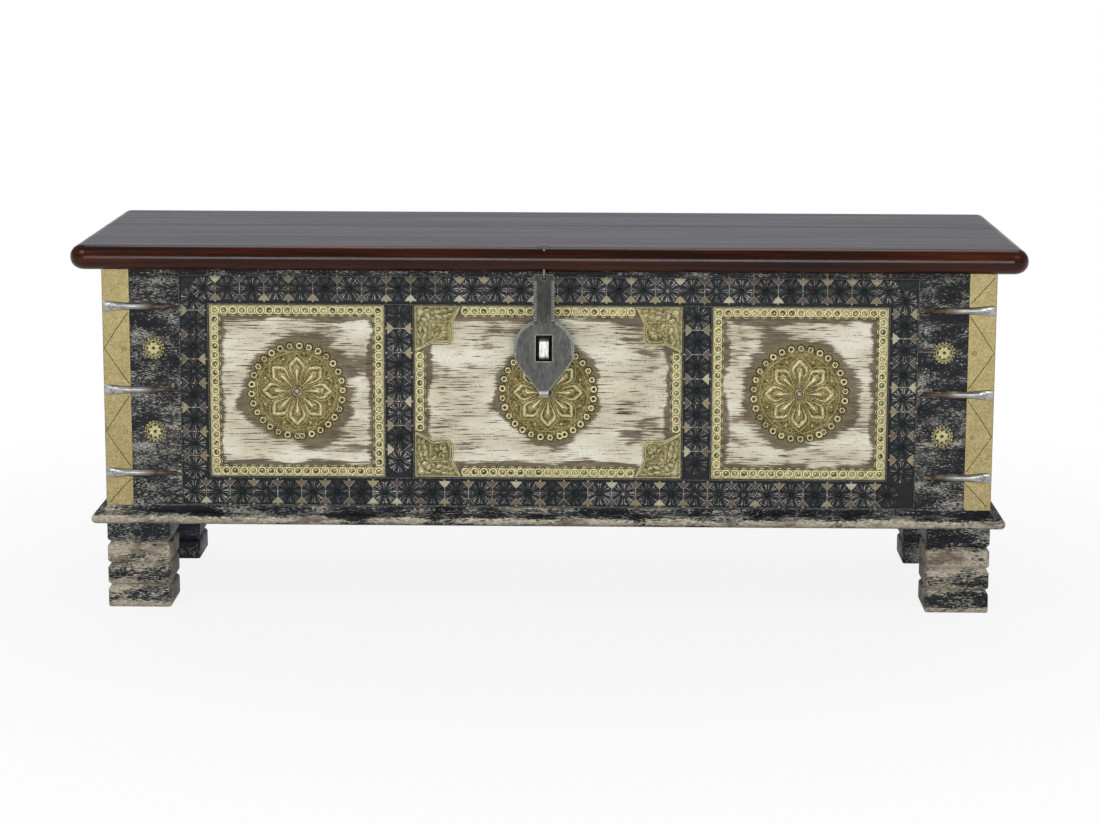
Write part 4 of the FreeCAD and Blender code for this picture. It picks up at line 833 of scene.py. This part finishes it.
def border_ring(stamping, spot, ahead, into):
    """A ring with a crescent in it, on the lobes of the scalloped edge, and two beads by it."""
    turn = math.atan2(into[1], into[0])
    for along, inward, radius in LOBES:
        lobe = circle(spot + into * inward + ahead * along,
                      radius + random.uniform(-0.4, 0.4), 12)
        stamping.add(sheet_form(lobe, 0.5), raised=0.2)
    stamping.add(ring_form(spot, 4.5, 2.1, 1.2, 0.55, 18),
                 raised=np.repeat((0.3, 0.9, 1.0, 0.8, 0.3), 18))
    stamping.add(sheet_form(circle(spot, 3.0, 12), 0.62), raised=random.uniform(0.1, 0.45))
    way = turn + random.uniform(-0.9, 0.9)
    crescent = [spot + polar(1.3, way + a) for a in np.linspace(-1.4, 1.4, 7)]
    stamping.add(rib(crescent, 1.6, 0.7, 0.6, tapered=True), raised=1.0)
    edge = [spot + into * 2.9 + polar(4.1, turn + a) for a in np.linspace(-1.2, 1.2, 9)]
    stamping.add(rib(edge, 0.9, 0.5, 0.45, tapered=True), raised=0.8)
    for out, size in ((-3.4, 0.8), (4.2, 1.0)):
        bead = spot + ahead * RING_PITCH / 2 + into * out
        stamping.add(dome(bead, size, 0.7, 0.55, 5, 2), raised=0.95)


def border(word, bracket=0.0):
    """A border along all four sides of a panel. It stops at brackets, or else it is mitred."""
    (x0, _, z0), (x1, _, z1) = box_mm(f"border_{word}")
    stamping = Stamping((0, panel_front, 0))
    corner = 4.5 if bracket else 7.4
    for start, end, into in (((x0 + bracket, z1), (x1 - bracket, z1), (0, -1)),
                             ((x0 + bracket, z0), (x1 - bracket, z0), (0, 1)),
                             ((x0, z0 + bracket), (x0, z1 - bracket), (1, 0)),
                             ((x1, z0 + bracket), (x1, z1 - bracket), (-1, 0))):
        side = Side(start, end, into, 0 if bracket else 1)
        stamping.add(side.sheet(11.4, 0.6), raised=0.42)
        for distance, width, rise in ((0.7, 1.2, 0.7), (3.1, 0.6, 0.4)):
            stamping.add(side.ridge(distance, width, rise, 0.5), raised=0.9)
        for spot in side.bead_places(1.95, 1.9):
            stamping.add(dome(spot, 0.62, 0.6, 0.6, 4, 1), raised=0.9)
        length = math.dist(start, end)
        rings = np.linspace(corner, length - corner,
                            round((length - 2 * corner) / RING_PITCH) + 1)
        if not bracket and into[1] == 0:
            rings = rings[1:-1]
        for place in rings:
            spot = side.start + side.ahead * place + side.into * RING_LINE
            border_ring(stamping, spot, side.ahead, side.into)
    stamping.piece(f"stamped_border_{word}", border_brass, "carcase", "brass", f"border_{word}")


border("left")
border("right")
border("centre", 58.0)

# %% Corner brackets
LEG = 57.0
BRACKET = [(0, 0), (1, 0), (0.81, 0.41), (0.83, 0.45), (0.83, 0.74), (0.74, 0.83), (0.45, 0.83),
           (0.41, 0.81), (0, 1)]
FRAME_LINE = [(LEG * 0.97, 0.9), (LEG * 0.5, 0.9), (0.9, 0.9), (0.9, LEG * 0.5), (0.9, LEG * 0.97)]
LOBE_LINE = [(41, 19.2), (30, 19.2), (19.2, 19.2), (19.2, 30), (19.2, 41)]
LEAVES = [  # across, up, turn, length, width of the leaves on one side of the diagonal
    (9, 6.3, 24, 8.5, 3.2), (17, 12.5, 66, 8, 3.4), (16, 5.4, -10, 7, 2.6),
    (22.5, 8.6, 34, 6, 2.2), (29, 7.2, -8, 8, 3.0), (30, 13.6, 22, 8.5, 3.4),
    (37, 5.4, 8, 7.5, 2.4), (38, 12.4, -18, 7.5, 2.8), (45, 4.6, 0, 6.5, 2.2),
    (44.5, 10.6, 14, 6.5, 2.4), (23, 15.2, -28, 5.5, 2.2),
]
MIDDLE_LEAVES = [  # the rest, in the square lobe and on the diagonal
    (23.8, 23.8, 45, 7.5, 3.2), (37.4, 32.2, 0, 6.5, 2.6), (36, 36, 45, 6.5, 2.6),
    (32.2, 37.4, 90, 6.5, 2.6), (27, 35, 140, 6, 2.4), (35, 27, -50, 6, 2.4),
    (9.5, 9.5, 45, 5, 2.0),
]


def inset(outline, distance):
    """The open inner edge of the bracket, moved towards its middle."""
    middle = np.array([0.42, 0.42]) * LEG
    return [p + (middle - p) / np.linalg.norm(middle - p) * distance for p in outline]


def bracket(stamping, corner, right, upward):
    """Right and upward are 1 or -1, for the way that the bracket runs from its corner."""
    def put(patch, raised):
        points = np.array((*corner, 0)) + patch[0] * np.array((right, upward, 1))
        faces = [f[::-1] for f in patch[1]] if right * upward < 0 else patch[1]
        stamping.add((points, faces), raised)
    outline = np.array(BRACKET) * LEG
    put(sheet_form(outline, 0.8), 0.25)
    for distance, width in ((0.9, 1.3), (4.0, 1.2)):
        put(rib(inset(outline[1:], distance), width, 0.9, 0.7), 1.0)
    put(rib(FRAME_LINE, 1.2, 0.7, 0.7), 0.95)
    put(rib(LOBE_LINE, 0.9, 0.6, 0.75), 0.9)

    def put_leaf(u, v, angle, length, width):
        patch = leaf((u, v), math.radians(angle), length, width, 1.7, 0.7)
        put(patch, (patch[0][:, 2] - 0.9) / 0.9)
    for u, v, angle, length, width in LEAVES:
        put_leaf(u, v, angle, length * 1.25, width * 1.4)
        put_leaf(v, u, 90 - angle, length * 1.25, width * 1.4)
    for u, v, angle, length, width in MIDDLE_LEAVES:
        put_leaf(u, v, angle, length * 1.2, width * 1.3)
    put(dome((31.6, 31.6), 1.2, 0.9, 0.75, 8, 2), 0.3)
    for _ in range(70):
        spot = np.array((random.uniform(2.5, 44), random.uniform(2.5, 44)))
        if spot.sum() < 50 or spot.max() < 42 and spot.min() > 22:
            put(dome(spot, 0.6, 0.45, 0.75, 4, 1), 0.75)


low, high = box_mm("centre_brackets")
stamping = Stamping((0, panel_front, 0))
for x, right in ((low[0], 1), (high[0], -1)):
    for z, upward in ((low[2], 1), (high[2], -1)):
        bracket(stamping, (x, z), right, upward)
stamping.piece("stamped_corner_brackets", border_brass, "carcase", "brass", "centre_brackets")

# %% [markdown]
# ## Corner ironwork
# Folded brass plates cover the two front corners. A zigzag is scored on them between the straps.
# Each strap is a forged bar: flat and nailed at the corner, then drawn to a half round rod that
# tapers out over the paint. Small scalloped studs sit between the straps.

# %% Straps
STRAP = [  # along the front from the corner, height, thickness, flatness of its back
    (0, 13.0, 2.6, 1.0), (3, 13.0, 3.0, 1.0), (8, 13.0, 3.2, 0.9), (13, 12.4, 3.4, 0.7),
    (18, 10.8, 3.8, 0.35), (23, 9.8, 4.2, 0.1), (29, 9.4, 4.5, 0.0), (38, 9.2, 4.6, 0.0),
    (48, 9.0, 4.5, 0.0), (58, 8.4, 4.1, 0.0), (67, 7.4, 3.4, 0.0), (76, 6.0, 2.6, 0.0),
    (83, 4.6, 1.9, 0.0), (88, 3.0, 1.2, 0.0),
]
STRAP_START = 543.5
STRAP_LENGTH = 88
STRAP_LEVELS = (378.0, 274.5, 171.0)
ARC = np.linspace(0, math.pi, 13)
SIDES = (("left", -1), ("right", 1))


def strap(stamping, side, level):
    points = [(side * (STRAP_START - along), level - side * height / 2 * math.cos(a),
               thickness * math.sin(a) ** (1 - 0.72 * flat))
              for along, height, thickness, flat in STRAP for a in ARC]
    tones = [along / STRAP_LENGTH for along, *_ in STRAP for _ in ARC]
    stamping.add((points, grid_faces(len(STRAP), len(ARC), capped=True)), raised=0.6, tone=tones)
    middle = side * (STRAP_START - 10.5)
    groove = [(middle + u, level + v) for u, v in ((3.6, 0), (0, 4.2), (-3.6, 0), (0, -4.2))]
    stamping.add(rib(groove, 1.0, 0.8, 2.9, closed=True), raised=0.0, tone=0.0)
    stamping.add(dome((middle, level), 2.0, 1.3, 3.0, 4, 2), raised=0.9, tone=0.0)


def polished_strap():
    """A bright bar at the corner that goes under smeared paint along its taper."""
    m, place = new_material("wrought_bar_polished")
    raised, along = stored_values(m)
    mottle = blotches(m, place, 4, (3, 1, 1), 5, 0.65)
    metal = ramp(m, mottle, {0.3: "#787774", 0.65: "#b4b3ae"})
    painted = ramp(m, mottle, {0.38: "#1c1513", 0.50: "#3d2e26", 0.60: "#655640", 0.70: "#9a8f6e"})
    share = ramp(m, summed(m, along, (mottle, 0.55)), {0.72: 0.0, 0.95: 1.0})
    dark = ramp(m, raised, {0.0: 0.12, 0.3: 1.0})
    colour = coats(m, metal, (share, painted))
    return surfaced(m, node(m, "BsdfPrincipled", {
        "Base Color": coats(m, colour, (1.0, dark), how="MULTIPLY"),
        "Metallic": node(m, "MapRange", [share, 0.0, 1.0, 0.95, 0.3]),
        "Roughness": node(m, "MapRange", [share, 0.0, 1.0, 0.28, 0.6]),
        "Normal": bumped(m, mottle, 0.25, 0.5)}))


strap_metal = polished_strap()
for word, side in SIDES:
    stamping = Stamping((0, face, 0))
    for level in STRAP_LEVELS:
        strap(stamping, side, level)
    stamping.piece(f"forged_straps_{word}", strap_metal, "carcase", "strap_metal",
                   f"corner_straps_{word}")

# %% Lines scored on the corner plates
PLATE_INNER, PLATE_MIDDLE, PLATE_OUTER = 513, 528, 543
plate_front = box_mm("corner_plate_left")[0][1]
score_brass = aged_brass("scored_brass_line", "#2a2312", "#4b4025", "#6c5f3b")
for word, side in SIDES:
    stamping = Stamping((0, plate_front, 0))
    lines = [[(PLATE_INNER, STRAP_LEVELS[-1] - 8), (526, 150), (540, 134)]]
    if word == "right":
        lines.append([(PLATE_INNER, STRAP_LEVELS[0] + 8.5), (PLATE_MIDDLE, 403), (542, 419)])
    for upper, lower in zip(STRAP_LEVELS, STRAP_LEVELS[1:]):
        middle = (upper + lower) / 2
        lines.append([(PLATE_INNER, upper - 7.5), (PLATE_MIDDLE, (upper + middle) / 2 - 3),
                      (PLATE_OUTER, middle), (PLATE_MIDDLE, (lower + middle) / 2 + 3),
                      (PLATE_INNER, lower + 7.5)])
        mark = (side * 519, middle - 1)
        stamping.add(rib(circle(mark, 2.6, 10), 0.7, 0.2, closed=True), raised=0.4)
        stamping.add(dome(mark, 0.9, 0.25, 0, 5, 1), raised=0.4)
    for line in lines:
        stamping.add(rib([(side * u, v) for u, v in line], 0.9, 0.25), raised=0.2)
    stamping.piece(f"scored_lines_{word}", score_brass, "carcase", "brass")


# %% Studs
def scallops(angles):
    return 14 * (0.93 + 0.07 * np.abs(np.cos(9 * angles)))


stamping = Stamping((0, face, 0))
for side in (-1, 1):
    for level in (326.25, 222.75):
        spot = np.array((side * 482.5, level))
        stamping.add(disc(scallops, 1.0, (1.0, 0.97, 0.8), 72, spot), raised=0.12)
        for i in range(18):
            bead = spot + polar(12.3, i / 18 * TURN)
            stamping.add(dome(bead, 1.3, 1.0, 0.9, 6, 2), raised=0.7, tone=0.4)
        stamping.add(rib(circle(spot, 9.8, 40), 1.3, 1.0, 0.9, closed=True), raised=0.75,
                     tone=0.45)
        for i in range(8):
            a = (i + 0.5) / 8 * TURN
            stamping.add(leaf(spot + polar(5.3, a), a, 7.4, 4.4, 1.7, 1.0), raised=0.9)
        stamping.add(disc(2.6, 1.3, (1.0, 0.6), 12, spot), raised=0.05)
stamping.piece("scalloped_studs", border_brass, "carcase", "brass", "corner_studs")

# %% [markdown]
# ## Hasp, staple and feet
# The hasp itself is the frame's own piece. Short strokes are cut along both edges of its neck and
# round the shoulder of its disc. A near-black plate under the staple is painted shade, for the
# dark inside the hasp's slot. The feet are square blocks with three grooves, and old paint has
# softened every edge, so each foot is a stack of rounded squares whose inset follows the grooves.

# %% Strokes on the hasp and the painted shade plate under the staple
HASP_MIDDLE, HASP_FRONT = (-4.9, 330.7), -189.0
NECK_HALF, NECK_START, STROKE_PITCH = 12.0, 366, 1.9
stamping = Stamping((0, HASP_FRONT, 0))
for i in range(26):
    level = NECK_START + i * STROKE_PITCH
    for side in (-1, 1):
        edge = HASP_MIDDLE[0] + side * NECK_HALF
        stamping.add(rib([(edge, level), (edge - side * 3.2, level)], 0.8, 0.3), raised=0.8)
for i in range(30):
    for side in (-1, 1):
        angle = math.pi / 2 + side * (0.42 + i * 0.047)
        line = [HASP_MIDDLE + polar(radius, angle) for radius in (36.0, 33.2)]
        stamping.add(rib(line, 0.8, 0.3), raised=0.8)
stroke_iron = aged_brass("wrought_iron_cut_strokes", "#2b2b2a", "#66665f", "#a8a8a2")
stamping.piece("hasp_strokes", stroke_iron, "hasp", "dark_iron")

# Painted shade: a near-black plate behind the hasp's slot, standing for the dark inside the slot.
STAPLE_LEGS = 2.6
stamping = Stamping((0, panel_front - STAPLE_LEGS, 0))
plate = [(STAPLE[0] + 12.5 * u, STAPLE[1] + 18.5 * v) for u, v in (
    (-1, -0.8), (-0.7, -1), (0.7, -1), (1, -0.8), (1, 0.8), (0.7, 1), (-0.7, 1), (-1, 0.8))]
stamping.add(sheet_form(plate, 0.9), raised=0.1)
dark_plate = aged_brass("staple_slot_painted_shade", "#050505", "#0d0d0d", "#1c1c1c")
stamping.piece("staple_slot_shade_plate", dark_plate, "carcase", "dark_iron")

# %% Feet
GROOVE_PITCH = 27.25
GROOVE = [(-5.2, 0.05), (-3.6, 0.7), (-1.8, 2.5), (-0.5, 3.9), (0.5, 3.9), (1.8, 2.5), (3.6, 0.7),
          (5.2, 0.05)]
CORNER_POINTS = 4


def rounded_square(half, radius):
    corners = []
    for quarter in range(4):
        middle = polar((half - radius) * math.sqrt(2), (quarter + 0.5) * TURN / 4)
        corners += [middle + polar(radius, (quarter + i / (CORNER_POINTS - 1)) * TURN / 4)
                    for i in range(CORNER_POINTS)]
    return corners


def foot(word, paint):
    low, high = box_mm(f"foot_{word}")
    half = (high[0] - low[0]) / 2
    stations = [(0, 1.6), (0.8, 0.4), (2.4, 0.0)]
    stations += [(GROOVE_PITCH * i + z, inset) for i in (1, 2, 3) for z, inset in GROOVE]
    stations.append((high[2], 0))
    rings = [[(u, v, z) for u, v in rounded_square(half - inset, 2.2)] for z, inset in stations]
    block = Stamping(((low[0] + high[0]) / 2, (low[1] + high[1]) / 2, 0), "above")
    faces = grid_faces(len(rings), len(rings[0]), closed=True, capped=True)
    block.add((np.concatenate(rings), faces), raised=0.5)
    block.piece(f"grooved_foot_{word}", paint, "carcase", "black_paint", f"foot_{word}")


# The back feet take the darker copy of the paint, as painted shade under the chest.
for end, paint in (("front", foot_paint), ("back", back_foot_paint)):
    for word, _ in SIDES:
        foot(f"{end}_{word}", paint)

# %% [markdown]
# ## Screws and pin ends
# The hinges and the battens are fixed with slotted wood screws, which show from behind and under
# the open lid. A countersunk head sits almost flush, so each is two half rounds with the slot
# between them, on a dark round that shows through the slot. The hinge pins end in low peened
# domes.

# %% Screw heads
HINGE_X = 330
HINGE_AXIS = (179.8, 420.2)
HINGE_HALF = 33
BODY_LEAF_FACE, LID_LEAF_FACE = 177.0, 423.0
BATTEN_X, BATTEN_FACE = 430, 407.0
SLOT_ANGLE = 0.16


def screw_heads(name, foot, way, spots, radius, proud, body):
    stamping = Stamping(foot, way)
    for spot in spots:
        turn = random.uniform(0, math.pi)
        stamping.add(sheet_form(circle(spot, radius, 20), proud * 0.3), raised=0.0)
        for flip in (0, math.pi):
            angles = np.linspace(SLOT_ANGLE, math.pi - SLOT_ANGLE, 12)
            half = [np.array(spot) + polar(radius, a + turn + flip) for a in angles]
            stamping.add(sheet_form(half, proud), raised=0.8)
    stamping.piece(name, screw_steel, body, "steel")


screw_steel = aged_brass("screw_steel_slotted", "#161514", "#5d5b58", "#95938f")
for word, side in SIDES:
    across = [side * HINGE_X + step for step in (-22, 0, 22)]
    screw_heads(f"body_leaf_screws_{word}", (0, BODY_LEAF_FACE, 0), "back",
                [(-x, 392 + 8 * (i % 2)) for i, x in enumerate(across)], 3.4, 0.4, "carcase")
    screw_heads(f"lid_leaf_screws_{word}", (0, 0, LID_LEAF_FACE), "below",
                [(x, -158 - 8 * (i % 2)) for i, x in enumerate(across)], 3.4, 0.2, "lid")
    screw_heads(f"batten_screws_{word}", (0, 0, BATTEN_FACE), "below",
                [(side * BATTEN_X, -y) for y in (-95, 3.5, 102)], 4.2, 0.5, "lid")

for way, side in SIDES[::-1]:
    stamping = Stamping((0, 0, 0), way)
    for middle in (-HINGE_X, HINGE_X):
        spot = (side * HINGE_AXIS[0], HINGE_AXIS[1])
        stamping.add(dome(spot, 3.2, 1.2, HINGE_HALF + side * middle, 16, 4), raised=0.5)
    stamping.piece(f"peened_pin_ends_{way}", screw_steel, "lid", "steel")

# %% [markdown]
# ## Floor, light and camera
# The chest stands on a plain white floor under four large soft lamps, as for a catalogue. The
# background reads as white to the camera and to shiny surfaces, and the lamps stay at a plain
# level so that each colour looks as it was written. A long low lamp in front gives the nosing of
# the lid its streak.

# %% Floor and backdrop
FLOOR_REACH = 9.0
WHITE = (1, 1, 1, 1)


def seen_rays(owner):
    """1 for rays that end in the eye or in a shiny surface, 0 for those that light the chest."""
    path = node(owner, "LightPath", out=None)
    shiny = maths(owner, "MAXIMUM", path["Is Glossy Ray"], path["Is Transmission Ray"])
    return maths(owner, "MAXIMUM", path["Is Camera Ray"], shiny)


def pale_floor():
    """Matt paper that fades to pure white away from the chest."""
    m, place = new_material("matt_paper_backdrop")
    colour = ramp(m, blotches(m, place, 4), {0.3: "#aeaeae", 0.7: "#b8b8b8"})
    paper = node(m, "BsdfPrincipled", {"Base Color": colour, "Roughness": 0.9})
    glow = node(m, "Emission", {"Color": WHITE, "Strength": 1.0})
    far = node(m, "VectorMath", [place], "Value", operation="LENGTH")
    share = node(m, "MapRange", [far, 0.5, 1.3, 0.88, 1.0])
    seen = maths(m, "MULTIPLY", seen_rays(m), share)
    return surfaced(m, node(m, "MixShader", [seen, paper, glow]))


floor_mesh = bpy.data.meshes.new("floor")
floor_mesh.from_pydata([(x * FLOOR_REACH, y * FLOOR_REACH, 0) for x, y in (
    (-1, -1), (1, -1), (1, 1), (-1, 1))], [], [(0, 1, 2, 3)])
floor = bpy.data.objects.new("floor", floor_mesh)
floor_mesh.materials.append(pale_floor())
bpy.context.scene.collection.objects.link(floor)

# %% World and lamps
world = bpy.data.worlds.new("studio")
bpy.context.scene.world = world
world.use_nodes = True
world.node_tree.nodes.clear()
upward = node(world, "SeparateXYZ", [node(world, "TexCoord", out="Generated")], "Z")
wall = ramp(world, upward, {0.0: "#ffffff", 0.07: "#a4abb3", 0.5: "#8b9096"})
ambient = ramp(world, upward, {0.0: 0.55, 0.5: 0.58})
node(world, "OutputWorld", [node(world, "Background", {
    "Color": coats(world, ambient, (seen_rays(world), wall)), "Strength": 1.0})])


def lamp(name, place, aim, size, watts):
    light = bpy.data.lights.new(name, "AREA")
    light.shape = "RECTANGLE"
    light.size, light.size_y = size
    light.energy = watts
    obj = bpy.data.objects.new(name, light)
    obj.location = place
    obj.rotation_euler = (Vector(aim) - Vector(place)).to_track_quat("-Z", "Y").to_euler()
    bpy.context.scene.collection.objects.link(obj)
    print(f"{name} lamp: {watts} W")


lamp("key", (-1.9, -1.8, 2.8), (0, 0, 0.25), (1.2, 1.2), 30)
lamp("fill", (2.0, -1.8, 2.6), (0, 0, 0.25), (1.2, 1.2), 12)
lamp("top", (0.2, 1.3, 2.3), (0, 0, 0.4), (2.4, 1.0), 18)
lamp("strip", (0, -4.1, 0.8), (0, -0.2, 0.44), (3.0, 0.46), 64)

# %% Camera
camera_data = bpy.data.cameras.new("camera")
camera_data.sensor_width = 36
camera_data.lens = 94.41
camera = bpy.data.objects.new("camera", camera_data)
camera.location = (0.0581, -3.6481, 0.8757)
camera.rotation_euler = (math.pi / 2 - 0.178, -0.0035, 0.0166)
bpy.context.scene.collection.objects.link(camera)
bpy.context.scene.camera = camera
bpy.context.scene.view_settings.view_transform = "Standard"
